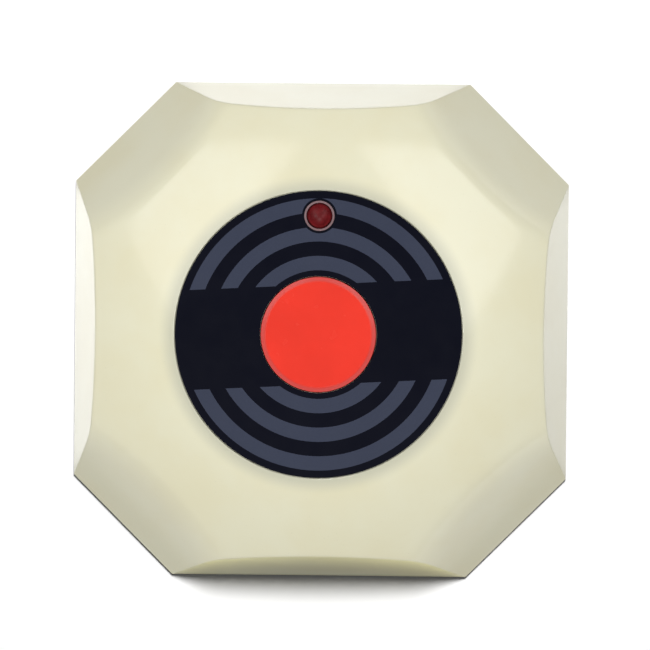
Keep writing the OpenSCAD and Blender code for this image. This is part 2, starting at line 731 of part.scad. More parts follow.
module switch_pins() {
    color("silver") at_each(switch_pin_places)
        translate([-pin_t / 2, -pin_w / 2, pin_low_z]) cube([pin_t, pin_w, board_z + 1 - pin_low_z]);
}

module encoder_chip() {
    color("#232326") translate([chip_at[0], chip_at[1], board_z + 0.15]) difference() {
        translate([-chip_l / 2, -chip_w / 2, 0]) cube([chip_l, chip_w, chip_h]);
        translate([-chip_l / 2 + 0.9, -chip_w / 2 + 0.9, chip_h - 0.15]) cylinder(r = 0.4, h = over);
    }
}

// One bent leg in profile, its foot on the board
module leg_profile() {
    polygon([
        [0, 0.6], [0.7, 0.6], [0.9, 0.2], [0.9, 0], [1.5, 0],
        [1.5, 0.2], [1.1, 0.2], [0.85, 0.8], [0, 0.8]]);
}

module chip_legs() {
    color("silver") for (s = [0, 180], i = [0:chip_legs_n - 1])
        translate([chip_at[0], chip_at[1], board_z]) rotate([0, 0, s])
            translate([(i - (chip_legs_n - 1) / 2) * leg_pitch + 0.2, chip_w / 2, 0])
                rotate([90, 0, -90]) mirror([1, 0, 0]) linear_extrude(0.4) leg_profile();
}

module saw_resonator() {
    color("#b9b9bc") {
        translate([can_at[0], can_at[1], board_z]) cylinder(r = can_r + can_rim_w, h = 0.5);
        translate([can_at[0], can_at[1], board_z]) rotate_extrude()
            polygon([[0, 0], [can_r, 0], [can_r, can_h - 0.4], [can_r - 0.4, can_h], [0, can_h]]);
        at_each(can_pin_places) translate([0, 0, pin_low_z])
            cylinder(r = lead_r, h = board_z - pin_low_z + 0.1);
    }
}

module antenna_coil() {
    color("#b8742c") tube(coil_path, coil_wire_r, 6, [1, 0, 0]);
}

// Small resistors, capacitors and a transistor on the board's front
module board_parts() {
    color("#3a3128") translate([0, 0, board_z]) {
        for (i = [0:3]) translate([resistors_at[0] + chip_step * i, resistors_at[1], 0]) cube(resistor_size);
        for (i = [0:2]) translate([capacitors_at[0] + chip_step * i, capacitors_at[1], 0])
            cube(capacitor_size);
        translate([transistor_at[0], transistor_at[1], 0]) cube(transistor_size);
        translate([can_capacitor_at[0], can_capacitor_at[1], 0])
            cylinder(r = can_capacitor_r, h = can_capacitor_h);
    }
}

module battery() {
    color("#c8a24a") translate([cell_low_x, -bay_y, battery_z]) rotate([0, 90, 0])
        cylinder(r = battery_r, h = cell_high_x - cell_low_x);
}

module battery_terminals() {
    color("#d0d0d2") {
        translate([cell_high_x, -bay_y, battery_z]) rotate([0, 90, 0]) cylinder(r = tip_r, h = tip_l);
        translate([cell_low_x - terminal_t, -bay_y, battery_z]) rotate([0, 90, 0])
            cylinder(r = battery_r - 0.8, h = terminal_t);
    }
}

module battery_spring() {
    color("#bfbfc2") tube(spring_path, spring_wire_r, 6, [1, 0, 0]);
}

// Contact plate against one end of the bay, with a tab through its roof
module contact(s) {
    translate([s * (contact_x + contact_t / 2), -bay_y, 0]) {
        translate([-contact_t / 2, -contact_half, contact_low_z])
            cube([contact_t, 2 * contact_half, contact_high_z - contact_low_z]);
        translate([-contact_t / 2, -tab_half, contact_high_z - 0.1])
            cube([contact_t, 2 * tab_half, tab_z - contact_high_z + 0.1]);
    }
}

module positive_contact() {
    color("#c9c9cc") contact(1);
}

module negative_contact() {
    color("#c9c9cc") contact(-1);
}

module positive_wire() {
    color("#b02020") tube(wire_path, wire_r, 8, [1, 1, -1]);
}

module negative_wire() {
    color("#202020") mirror([1, 0, 0]) tube(wire_path, wire_r, 8, [1, 1, -1]);
}

module battery_door() {
    in_z = base_z + door_t;
    color("#d5d2b8") {
        // Plate with a rounded hinge edge and its two noses
        translate([-door_half_x, -bay_y - door_half_y, base_z])
            cube([2 * door_half_x, hinge_y + bay_y + door_half_y, door_t]);
        translate([-door_half_x, hinge_y, hinge_z]) rotate([0, 90, 0])
            cylinder(r = hinge_r, h = 2 * door_half_x);
        translate([-door_half_x - nose_l, hinge_y, hinge_z]) rotate([0, 90, 0])
            cylinder(r = nose_r, h = 2 * (door_half_x + nose_l));
        // Cradles under the battery and the latch tongue
        for (s = [-1, 1]) translate([s * cradle_x - cradle_t / 2, -bay_y - cradle_half, in_z - 0.2])
            difference() {
                cube([cradle_t, 2 * cradle_half, 1.2]);
                translate([-over, cradle_half, battery_z - in_z + 0.2]) rotate([0, 90, 0])
                    cylinder(r = battery_r + cradle_gap, h = cradle_t + 2 * over);
            }
        translate([-latch_half, -bay_y - bay_r + latch_gap, in_z - 0.2])
            cube([2 * latch_half, latch_t, latch_h + 0.2]);
    }
}

// Round-headed screw with a cross recess, head down at z = 0 and shank upwards
module screw(shank_r, shank_l, head_r, head_h) {
    difference() {
        union() {
            translate([0, 0, -head_h]) cylinder(r1 = 0.8 * head_r, r2 = head_r, h = 0.3 * head_h);
            translate([0, 0, -0.7 * head_h]) cylinder(r = head_r, h = 0.7 * head_h);
            translate([0, 0, -0.1]) cylinder(r = shank_r, h = shank_l + 0.1);
        }
        for (a = [0, 90]) rotate([0, 0, a]) translate([-0.55 * head_r, -0.12 * head_r, -head_h - over])
            cube([1.1 * head_r, 0.24 * head_r, over + 0.5 * head_h]);
    }
}

module case_screws() {
    color("#9a9a9e") at_each(case_screw_places) translate([0, 0, ledge_z])
        screw(screw_r, screw_l, screw_head_r, screw_head_h);
}

module board_screws() {
    color("#9a9a9e") at_each(board_screw_places) translate([0, 0, board_low_z])
        screw(board_screw_r, board_screw_l, board_screw_head_r, board_screw_head_h);
}

module rubber_feet() {
    foot_bevel = 0.3;
    color("#2b2b2d") for (sx = [-1, 1], sy = [-1, 1])
        translate([sx * foot_x, sy * foot_y, 0]) rotate_extrude()
        polygon([[0, 0], [foot_r - foot_bevel, 0], [foot_r, foot_bevel], [foot_r, foot_h], [0, foot_h]]);
}

top_shell();
base_plate();
face_label();
label_adhesive();
label_arcs();
button_cap();
lamp_lens();
lamp_leads();
lamp_bezel();
circuit_board();
switch_base();
switch_cover();
switch_plunger();
snap_dome();
switch_pins();
encoder_chip();
chip_legs();
saw_resonator();
antenna_coil();
board_parts();
battery();
battery_terminals();
battery_spring();
positive_contact();
negative_contact();
positive_wire();
negative_wire();
battery_door();
case_screws();
board_screws();
rubber_feet();
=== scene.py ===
import json
import math
import bpy
from mathutils import Matrix, Vector


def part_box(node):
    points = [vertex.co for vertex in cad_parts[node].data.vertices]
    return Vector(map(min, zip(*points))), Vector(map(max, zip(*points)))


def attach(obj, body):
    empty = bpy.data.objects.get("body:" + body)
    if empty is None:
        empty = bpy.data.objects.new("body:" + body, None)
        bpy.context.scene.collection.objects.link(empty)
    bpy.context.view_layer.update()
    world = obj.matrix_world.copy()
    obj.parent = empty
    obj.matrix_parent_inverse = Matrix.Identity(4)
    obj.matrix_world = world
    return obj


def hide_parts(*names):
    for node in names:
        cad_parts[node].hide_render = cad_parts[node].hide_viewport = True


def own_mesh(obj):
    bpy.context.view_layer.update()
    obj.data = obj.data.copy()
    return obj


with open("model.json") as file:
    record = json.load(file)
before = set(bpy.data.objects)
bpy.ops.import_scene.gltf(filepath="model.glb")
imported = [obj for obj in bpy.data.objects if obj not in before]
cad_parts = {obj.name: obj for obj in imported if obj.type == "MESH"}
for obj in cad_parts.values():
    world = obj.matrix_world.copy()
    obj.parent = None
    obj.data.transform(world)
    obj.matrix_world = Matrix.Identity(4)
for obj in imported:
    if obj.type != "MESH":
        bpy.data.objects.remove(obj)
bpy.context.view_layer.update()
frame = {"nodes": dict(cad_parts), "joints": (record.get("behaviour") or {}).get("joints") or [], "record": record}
nodes = frame["nodes"]
mm = 0.001
over = 1  # millimetres by which a cutter passes the face that it opens
print("frame loaded:", len(nodes), "nodes")


def boxMm(name):
    low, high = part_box(name)
    return low / mm, high / mm


def newObject(name, data):
    obj = bpy.data.objects.new(name, data)
    bpy.context.scene.collection.objects.link(obj)
    return obj


# Camera: nearly straight down on the front, as the photograph was taken
camera = {"distance": 0.9, "mmPerPixel": 0.1788, "imagePixels": 650, "sensor": 36,
          "tiltX": 2.00, "tiltY": -1.06, "roll": -0.54, "aimRight": 0.70, "aimUp": 0.82,
          "clipStart": 0.05, "clipEnd": 10}


def makeCamera(c):
    # The rows of the turn are the camera's right, up and back directions
    turn = Matrix.Rotation(math.radians(c["roll"]), 3, "Z")
    turn = turn @ Matrix.Rotation(math.radians(c["tiltX"]), 3, "X")
    turn = turn @ Matrix.Rotation(math.radians(c["tiltY"]), 3, "Y")
    right, up, back = turn
    data = bpy.data.cameras.new("camera")
    data.sensor_width = c["sensor"]
    data.lens = c["sensor"] * c["distance"] / (c["imagePixels"] * c["mmPerPixel"] * mm)
    data.clip_start = c["clipStart"]
    data.clip_end = c["clipEnd"]
    cam = newObject("camera", data)
    cam.location = back * c["distance"] + (right * c["aimRight"] + up * c["aimUp"]) * mm
    cam.rotation_euler = turn.transposed().to_euler()
    bpy.context.scene.camera = cam


makeCamera(camera)


# Small helpers for work by hand; sizes and places are in millimetres
def pick(*objs):
    if bpy.context.object and bpy.context.object.mode != "OBJECT":
        bpy.ops.object.mode_set(mode="OBJECT")
    bpy.ops.object.select_all(action="DESELECT")
    for obj in objs:
        obj.select_set(True)
    if objs:
        bpy.context.view_layer.objects.active = objs[0]


def settle(obj):
    # Puts an object's place, turn and size into its mesh
    pick(obj)
    bpy.ops.object.transform_apply(location=True, rotation=True, scale=True)
    return obj


def applyModifier(obj, kind, **settings):
    pick(obj)
    made = obj.modifiers.new(kind.lower(), kind)
    for key, value in settings.items():
        setattr(made, key, value)
    bpy.ops.object.modifier_apply(modifier=made.name)


def combine(obj, other, operation="DIFFERENCE"):
    applyModifier(obj, "BOOLEAN", operation=operation, solver="MANIFOLD", object=other)
    bpy.data.objects.remove(other)


def cut(obj, cutter):
    combine(obj, cutter)


def weld(obj, other):
    combine(obj, other, "UNION")


def joined(name, pieces):
    pick(*pieces)
    bpy.ops.object.join()
    obj = bpy.context.object
    obj.name = name
    return obj


def editMesh(obj, *steps):
    pick(obj)
    bpy.ops.object.mode_set(mode="EDIT")
    bpy.ops.mesh.select_all(action="SELECT")
    for operator, settings in steps:
        operator(**settings)
    bpy.ops.object.mode_set(mode="OBJECT")


def mergeAndTurnOut(obj, reach=1e-7):
    editMesh(obj, (bpy.ops.mesh.remove_doubles, {"threshold": reach}),
             (bpy.ops.mesh.normals_make_consistent, {"inside": False}))


def smooth(obj, degrees=30):
    pick(obj)
    bpy.ops.object.shade_smooth_by_angle(angle=math.radians(degrees))


def softenEdges(obj, width, segments=3, degrees=35):
    smooth(obj)
    applyModifier(obj, "BEVEL", width=width * mm, segments=segments, limit_method="ANGLE",
                  angle_limit=math.radians(degrees), use_clamp_overlap=True, harden_normals=True)


def meshPiece(name, points, faces=(), edges=()):
    mesh = bpy.data.meshes.new(name)
    mesh.from_pydata([(x * mm, y * mm, z * mm) for x, y, z in points], edges, faces)
    return newObject(name, mesh)


def ringFaces(sides, rings):
    # Faces between rings of points that lie one after another in a mesh, and a lid on either end
    faces = []
    for start in range(0, (rings - 1) * sides, sides):
        for i in range(sides):
            here, after = start + i, start + (i + 1) % sides
            faces.append((here, after, after + sides, here + sides))
    last = (rings - 1) * sides
    return faces + [tuple(range(sides - 1, -1, -1)), tuple(range(last, last + sides))]


def copyOfNode(name):
    obj = newObject(name + "Fine", nodes[name].data.copy())
    editMesh(obj, (bpy.ops.mesh.remove_doubles, {"threshold": 1e-6}))
    bpy.ops.mesh.customdata_custom_splitnormals_clear()
    return obj


def mergeFlatFaces(obj, degrees=0.5):
    editMesh(obj, (bpy.ops.mesh.dissolve_limited, {"angle_limit": math.radians(degrees)}))


def copiesAt(obj, places):
    # One copy of the piece at each place, the first one moved itself
    copies = [obj] + [newObject(obj.name, obj.data.copy()) for _ in places[1:]]
    for copy, place in zip(copies, places):
        copy.location = Vector(place) * mm
    return [settle(copy) for copy in copies]


def rod(radius, low, high, place=(0, 0), sides=96):
    pick()
    bpy.ops.mesh.primitive_cylinder_add(vertices=sides, radius=radius * mm, depth=(high - low) * mm,
                                        location=(place[0] * mm, place[1] * mm, (low + high) / 2 * mm))
    return settle(bpy.context.object)


def block(low, high, turn=0):
    # Box between two corners, turned about the upright axis by some degrees
    low, high = Vector(low), Vector(high)
    pick()
    bpy.ops.mesh.primitive_cube_add(size=1, location=(low + high) / 2 * mm, scale=(high - low) * mm)
    obj = settle(bpy.context.object)
    obj.rotation_euler = (0, 0, math.radians(turn))
    return settle(obj)


def spun(name, outline, place=(0, 0, 0), sides=128, along="Z"):
    # Turns an outline of (radius, height) points round an upright axis, or one that lies along X
    edges = [(i, i + 1) for i in range(len(outline) - 1)]
    obj = meshPiece(name, [(r, 0, z) for r, z in outline], edges=edges)
    turn = {"steps": sides, "angle": 2 * math.pi, "center": (0, 0, 0), "axis": (0, 0, 1)}
    editMesh(obj, (bpy.ops.mesh.spin, turn))
    obj.rotation_euler = (0, math.pi / 2 if along == "X" else 0, 0)
    obj.location = Vector(place) * mm
    settle(obj)
    mergeAndTurnOut(obj)
    return obj


def arc(centre, radius, start, stop, steps):
    # Points of a round stretch in an outline, between two angles in degrees
    angles = [math.radians(start + (stop - start) * k / steps) for k in range(steps + 1)]
    return [(centre[0] + radius * math.cos(a), centre[1] + radius * math.sin(a)) for a in angles]


def tubeAlong(name, points, radius, roundness=4):
    data = bpy.data.curves.new(name, "CURVE")
    data.dimensions = "3D"
    data.use_fill_caps = True
    data.bevel_depth = radius * mm
    data.bevel_resolution = roundness
    spline = data.splines.new("POLY")
    spline.points.add(len(points) - 1)
    for made, (x, y, z) in zip(spline.points, points):
        made.co = (x * mm, y * mm, z * mm, 1)
    obj = newObject(name, data)
    pick(obj)
    bpy.ops.object.convert(target="MESH")
    mergeAndTurnOut(obj)
    smooth(obj, 40)
    return obj


# Shader helpers: a wire is an output socket that takes part in sums
class Wire:
    def __init__(self, shader, socket):
        self.shader = shader
        self.socket = socket

    def maths(self, operation, first, second=0.0):
        return self.shader.node("ShaderNodeMath", {"operation": operation}, {0: first, 1: second})

    def __add__(self, other):
        return self.maths("ADD", self, other)

    def __radd__(self, other):
        return self.maths("ADD", other, self)

    def __sub__(self, other):
        return self.maths("SUBTRACT", self, other)

    def __rsub__(self, other):
        return self.maths("SUBTRACT", other, self)

    def __mul__(self, other):
        return self.maths("MULTIPLY", self, other)

    def __rmul__(self, other):
        return self.maths("MULTIPLY", other, self)

    def __truediv__(self, other):
        return self.maths("DIVIDE", self, other)


class Shader:
    def __init__(self, name, constants):
        self.material = bpy.data.materials.new(name)
        self.material.use_nodes = True
        self.tree = self.material.node_tree
        self.bsdf = self.tree.nodes["Principled BSDF"]
        for key, value in constants.items():
            self.bsdf.inputs[key].default_value = value

    def node(self, kind, settings=None, values=None, output=0):
        made = self.tree.nodes.new(kind)
        for key, value in (settings or {}).items():
            setattr(made, key, value)
        for key, value in (values or {}).items():
            if isinstance(value, Wire):
                self.tree.links.new(value.socket, made.inputs[key])
            else:
                made.inputs[key].default_value = value
        return Wire(self, made.outputs[output])

    def feed(self, name, value):
        self.tree.links.new(value.socket, self.bsdf.inputs[name])

    def place(self):
        return self.node("ShaderNodeTexCoord", output=3)

    def part(self, axis):
        return self.node("ShaderNodeSeparateXYZ", None, {0: self.place()}, output=axis)

    def vector(self, operation, first, second, output=0):
        return self.node("ShaderNodeVectorMath", {"operation": operation}, {0: first, 1: second}, output)

    def noise(self, scale, detail=3.0, roughness=0.5, stretch=(1, 1, 1)):
        place = self.vector("MULTIPLY", self.place(), stretch)
        values = {"Vector": place, "Scale": scale, "Detail": detail, "Roughness": roughness}
        return self.node("ShaderNodeTexNoise", None, values)

    def between(self, wire, low, high, toLow=0.0, toHigh=1.0):
        return self.node("ShaderNodeMapRange", {"interpolation_type": "SMOOTHSTEP"},
                         {0: wire, 1: low, 2: high, 3: toLow, 4: toHigh})

    def specks(self, scale, size):
        # 1 on small round spots, 0 elsewhere
        spots = self.node("ShaderNodeTexVoronoi", None, {"Vector": self.place(), "Scale": scale})
        return self.between(spots, size * 0.6, size, 1, 0)

    def band(self, wire, low, high, edge=0.00005):
        # 1 where a length lies between two values, with soft ends
        rise = self.between(wire, low - edge, low + edge)
        return rise * self.between(wire, high - edge, high + edge, 1, 0)

    def mixColour(self, factor, first, second):
        ends = [end if isinstance(end, Wire) else (*end, 1) for end in (first, second)]
        values = {0: factor, 6: ends[0], 7: ends[1]}
        return self.node("ShaderNodeMix", {"data_type": "RGBA"}, values, output=2)

    def bump(self, height, strength, distance):
        values = {"Height": height, "Strength": strength, "Distance": distance}
        self.feed("Normal", self.node("ShaderNodeBump", None, values))

    def radius(self, centre=(0, 0, 0)):
        apart = self.vector("SUBTRACT", self.place(), centre)
        return self.vector("LENGTH", self.vector("MULTIPLY", apart, (1, 1, 0)), (0, 0, 0), output=1)


def srgb(red, green, blue):
    return tuple(c / 12.92 if c <= 0.04045 else ((c + 0.055) / 1.055) ** 2.4
                 for c in (red / 255, green / 255, blue / 255))


def shade(colour, factor):
    return tuple(min(c * factor, 1) for c in colour)


# Materials; lengths on a pattern are in metres
labelRadius = boxMm("face_label")[1].y * mm
lampMiddle = (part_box("lamp_bezel")[0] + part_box("lamp_bezel")[1]) / 2
# Shell colours; the greyer one next to the label is painted shade
ivory = {"colour": srgb(239, 236, 208), "warm": srgb(237, 232, 200), "paintedShade": srgb(210, 209, 187),
         "paintedShadeWidth": 0.0032, "roughness": 0.13}
# Button colours; its rim colour is a painted reflection on the bevel
buttonRed = {"colour": srgb(240, 61, 46), "rim": srgb(214, 88, 84), "paintedLightFrom": 0.0093, "paintedLightTo": 0.0101,
             "rimSoft": 0.00025, "roughness": 0.26}
# Lamp colours; its rim colour is painted light round the lens's edge
lampRed = {"colour": srgb(99, 16, 21), "rim": srgb(150, 46, 50), "paintedLightFrom": 0.00145, "paintedLightTo": 0.0023,
           "ragged": 0.0004, "roughness": 0.42}
# Ring colours; its edge colour is painted shade where it goes down into the label's hole
ringMilk = {"colour": srgb(134, 108, 111), "edge": srgb(40, 32, 36), "edgeShadeFrom": 0.00257, "edgeShadeTo": 0.00266,
            "roughness": 0.3}
boardGreen = {"mask": srgb(24, 86, 44), "track": srgb(64, 138, 76), "laminate": srgb(150, 148, 96),
              "patch": 0.00508, "trackPitch": 0.000635, "trackFrom": 0.00012, "trackTo": 0.00017,
              "skin": 0.0001, "roughness": 0.34}
jacket = {"gold": srgb(196, 158, 66), "dark": srgb(24, 22, 22), "bandFrom": 0.0075, "bandTo": 0.0012,
          "lineFrom": 0.0015, "lineTo": 0.0021, "roughness": 0.3}


def ivoryPlastic(c):
    # Polished moulded plastic, with painted shade: a little greyer where it meets the label
    m = Shader("ivoryPlastic", {"IOR": 1.5})
    base = m.mixColour(m.between(m.noise(60, 4, 0.55), 0.35, 0.7), c["colour"], c["warm"])
    base = m.mixColour(m.specks(700, 0.09) * 0.12, base, shade(c["warm"], 0.6))
    paintedShadeMask = m.between(m.radius(), labelRadius, labelRadius + c["paintedShadeWidth"], 1, 0)
    m.feed("Base Color", m.mixColour(paintedShadeMask, base, c["paintedShade"]))
    m.feed("Roughness", c["roughness"] + (m.noise(900, 2) - 0.5) * 0.03)
    m.bump(m.noise(2500, 2), 0.02, 0.0001)
    return m.material


def moulded(name, colour, roughness, grain=2600, depth=0.15, specular=0.5, clouds=0.06, spots=0.15):
    # Textured plastic or rubber: soft clouds, fine spark-eroded grain and a few darker specks
    m = Shader(name, {"Specular IOR Level": specular})
    cloud = m.between(m.noise(90, 4, 0.6), 0.3, 0.7)
    base = m.mixColour(cloud, shade(colour, 1 - clouds), shade(colour, 1 + clouds))
    m.feed("Base Color", m.mixColour(m.specks(1100, 0.12) * spots, base, shade(colour, 0.55)))
    m.feed("Roughness", roughness + (m.noise(450, 3) - 0.5) * 0.14)
    m.bump(m.noise(grain, 3, 0.6), depth, 0.0001)
    return m.material


def film(name, colour, roughness, specular=0.3):
    # Printed film: even ink with a very fine grain and a slightly uneven gloss
    m = Shader(name, {"Specular IOR Level": specular})
    ink = m.mixColour(m.noise(5000, 2), shade(colour, 0.86), shade(colour, 1.14))
    worn = m.between(m.noise(50, 3), 0.35, 0.65) * 0.5
    m.feed("Base Color", m.mixColour(worn, ink, shade(colour, 0.9)))
    m.feed("Roughness", roughness + (m.noise(260, 2) - 0.5) * 0.05)
    m.bump(m.noise(1600, 2), 0.01, 0.0001)
    return m.material


def metal(name, colour, roughness, stretch=(1, 1, 1), tarnish=0.25, coat=0.0):
    # Drawn or rolled metal: fine streaks along the way it was worked, and clouds of tarnish
    m = Shader(name, {"Metallic": 1.0, "Coat Weight": coat, "Coat Roughness": 0.15})
    streaks = m.noise(1800, 3, 0.6, stretch)
    clouds = m.between(m.noise(240, 4, 0.6), 0.42, 0.75)
    base = m.mixColour(streaks, shade(colour, 0.82), shade(colour, 1.12))
    m.feed("Base Color", m.mixColour(clouds * tarnish, base, shade(colour, 0.5)))
    m.feed("Roughness", roughness + (streaks - 0.5) * 0.16 + clouds * 0.08)
    m.bump(streaks, 0.12, 0.00003)
    return m.material


def buttonPlastic(c):
    # Even, slightly soft-looking red with a polished skin, and a painted reflection on the bevelled rim: paler and
    # greyer there
    m = Shader("buttonRed", {"Specular IOR Level": 0.22, "Subsurface Weight": 0.05,
                             "Subsurface Radius": (1.0, 0.3, 0.2), "Subsurface Scale": 0.0006})
    cloud = m.between(m.noise(110, 3), 0.3, 0.7)
    base = m.mixColour(cloud, shade(c["colour"], 0.96), shade(c["colour"], 1.04))
    # Painted reflection: a paler, greyer band on the bevelled rim
    rim = m.band(m.radius(), c["paintedLightFrom"], c["paintedLightTo"], c["rimSoft"])
    base = m.mixColour(rim * (0.8 + (m.noise(260, 2) - 0.5) * 0.5), base, c["rim"])
    m.feed("Base Color", m.mixColour(m.specks(900, 0.08) * 0.15, base, shade(c["colour"], 0.6)))
    m.feed("Roughness", c["roughness"] + (m.noise(500, 3) - 0.5) * 0.08)
    m.bump(m.noise(2200, 3), 0.03, 0.0001)
    return m.material


def lampResin(c):
    # Dark red resin, mottled, with a brighter edge of painted light, as if light came out of it
    m = Shader("lampResin", {"Specular IOR Level": 0.2})
    away = m.radius((lampMiddle.x, lampMiddle.y, 0))
    mottle = m.noise(900, 3, 0.6)
    body = m.mixColour(m.between(mottle, 0.35, 0.65), shade(c["colour"], 0.86), shade(c["colour"], 1.15))
    # Painted light: a brighter band round the lens's edge
    rim = m.between(away + (mottle - 0.5) * c["ragged"], c["paintedLightFrom"], c["paintedLightTo"])
    m.feed("Base Color", m.mixColour(rim, body, c["rim"]))
    m.feed("Roughness", c["roughness"] + (m.noise(1500, 2) - 0.5) * 0.08)
    m.bump(m.noise(1200, 2), 0.02, 0.0001)
    return m.material


def milkyRing(c):
    # Milky moulded ring, cloudy, with painted shade round its outer edge where it goes down into the label's hole
    m = Shader("milkyRing", {})
    away = m.radius((lampMiddle.x, lampMiddle.y, 0))
    cloud = m.between(m.noise(600, 3, 0.6), 0.3, 0.7)
    base = m.mixColour(cloud, shade(c["colour"], 0.9), shade(c["colour"], 1.08))
    m.feed("Base Color", m.mixColour(m.between(away, c["edgeShadeFrom"], c["edgeShadeTo"]), base, c["edge"]))
    m.feed("Roughness", c["roughness"] + (m.noise(450, 3) - 0.5) * 0.14)
    m.bump(m.noise(3500, 3, 0.6), 0.08, 0.0001)
    return m.material


def circuitGreen(c):
    # Solder mask over runs of tracks that turn from patch to patch, and bare laminate on the cut edges
    m = Shader("circuitGreen", {"Coat Weight": 0.2, "Coat Roughness": 0.15})
    place, height = m.place(), m.part(2)
    patch = m.node("ShaderNodeTexWhiteNoise", {"noise_dimensions": "2D"},
                   {"Vector": m.vector("SNAP", place, (c["patch"],) * 3)})
    runs = [m.between(wire.maths("PINGPONG", wire, c["trackPitch"]), c["trackFrom"], c["trackTo"], 1, 0)
            for wire in (m.part(0), m.part(1))]
    tracks = (runs[0] * m.between(patch, 0.28, 0.3, 1, 0) + runs[1] * m.between(patch, 0.55, 0.57)) * 0.7
    pads = m.specks(420, 0.2)
    copper = tracks.maths("MAXIMUM", tracks, pads)
    base = m.mixColour(m.between(m.noise(300, 3), 0.3, 0.7), shade(c["mask"], 0.9), shade(c["mask"], 1.1))
    face = m.mixColour(copper * 0.85, base, c["track"])
    low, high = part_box("circuit_board")
    cutEdge = m.band(height, low.z + c["skin"], high.z - c["skin"])
    m.feed("Base Color", m.mixColour(cutEdge, face, c["laminate"]))
    m.feed("Roughness", c["roughness"] + (m.noise(700, 2) - 0.5) * 0.1)
    m.bump(copper + m.noise(3000, 2) * 0.2, 0.3, 0.00003)
    return m.material


def cellJacket(c):
    # Shrunk sleeve of a small cell: gold, with a dark band at one end and a thin dark ring at the other
    m = Shader("cellJacket", {"Metallic": 0.35, "Coat Weight": 0.4, "Coat Roughness": 0.1})
    along = m.part(0)
    low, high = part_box("battery")
    bands = m.band(along, high.x - c["bandFrom"], high.x - c["bandTo"])
    bands = bands + m.band(along, low.x + c["lineFrom"], low.x + c["lineTo"])
    streaks = m.noise(1200, 3, 0.6, (1, 6, 6))
    base = m.mixColour(streaks, shade(c["gold"], 0.85), shade(c["gold"], 1.12))
    m.feed("Base Color", m.mixColour(bands, base, c["dark"]))
    m.feed("Roughness", c["roughness"] + (m.noise(500, 3) - 0.5) * 0.1)
    m.bump(m.noise(700, 2, 0.5, (0.2, 1, 1)), 0.05, 0.0001)
    return m.material


def adhesiveFilm(colour):
    # Double-sided tape: milky, with small trapped bubbles
    m = Shader("adhesiveFilm", {"Specular IOR Level": 0.4})
    bubbles = m.specks(1500, 0.2)
    m.feed("Base Color", m.mixColour(bubbles * 0.5, colour, shade(colour, 0.75)))
    m.feed("Roughness", 0.45 + bubbles * 0.2)
    m.bump(bubbles, 0.2, 0.00005)
    return m.material


finishes = {
    "shell_ivory": ivoryPlastic(ivory),
    "base_ivory": moulded("baseIvory", srgb(226, 222, 194), 0.42),
    "label_black": film("labelBlack", srgb(5, 7, 22), 0.26, 0.24),
    "adhesive": adhesiveFilm(srgb(225, 220, 205)),
    "print_grey": film("printGrey", srgb(53, 59, 78), 0.34),
    "button_red": buttonPlastic(buttonRed),
    "lamp_red": lampResin(lampRed),
    "tinned_metal": metal("tinnedMetal", srgb(205, 205, 200), 0.32, (1, 1, 0.15)),
    "bezel_clear": milkyRing(ringMilk),
    "board_green": circuitGreen(boardGreen),
    "black_plastic": moulded("blackPlastic", srgb(32, 32, 35), 0.42, 3200, 0.2, spots=0.4),
    "steel_sheet": metal("steelSheet", srgb(198, 199, 202), 0.28, (0.12, 1, 1)),
    "copper_wire": metal("copperWire", srgb(192, 112, 58), 0.28, (1, 0.3, 0.3), 0.35, 0.4),
    "part_ceramic": moulded("partCeramic", srgb(74, 62, 54), 0.45, 4200, 0.1, clouds=0.14),
    "battery_jacket": cellJacket(jacket),
    "wire_red": moulded("wireRed", srgb(168, 24, 24), 0.4, 3000, 0.06),
    "wire_black": moulded("wireBlack", srgb(28, 28, 30), 0.4, 3000, 0.06),
    "screw_steel": metal("screwSteel", srgb(156, 157, 160), 0.34, (1, 1, 0.3), 0.4),
    "foot_rubber": moulded("footRubber", srgb(36, 36, 38), 0.72, 1800, 0.4, 0.3, 0.12),
}
slotOf = {part["node"]: part["material_slot"] for part in frame["record"]["subparts"]}


def dress(obj, slotName):
    obj.data.materials.clear()
    obj.data.materials.append(finishes[slotName])


def standFor(obj, name, body="housing", slotName=None):
    slotName = slotName or slotOf[name]
    dress(obj, slotName)
    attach(obj, body)
    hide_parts(name)


for name, obj in nodes.items():
    dress(obj, slotOf[name])
print("materials ready")


# Top shell: the outer skin is made fine from its formulas, and the inside is cut to the CAD node's own form
shell = {"cornerCut": 17.7, "sideLean": 16, "cornerLean": 32.5, "domeRadius": 73.5, "seatDepth": 0.3,
         "blend": 2.2, "labelGap": 0.15, "capGap": 0.155, "lampGap": 0.055,
         "rimRound": 0.2, "rimInset": 0.4, "edgeRound": 0.35, "edgeReach": 1.0, "cornerStart": 0.4,
         "seatRound": 0.12, "seatMargin": 0.25, "sideSteps": 40, "sideCrowding": 1.5, "cornerSteps": 14,
         "rings": 44, "sideRings": (0.06, 0.5, 0.94), "halvings": 40,
         "plugDepth": 0.5, "plugInset": 3, "plugRings": 16}


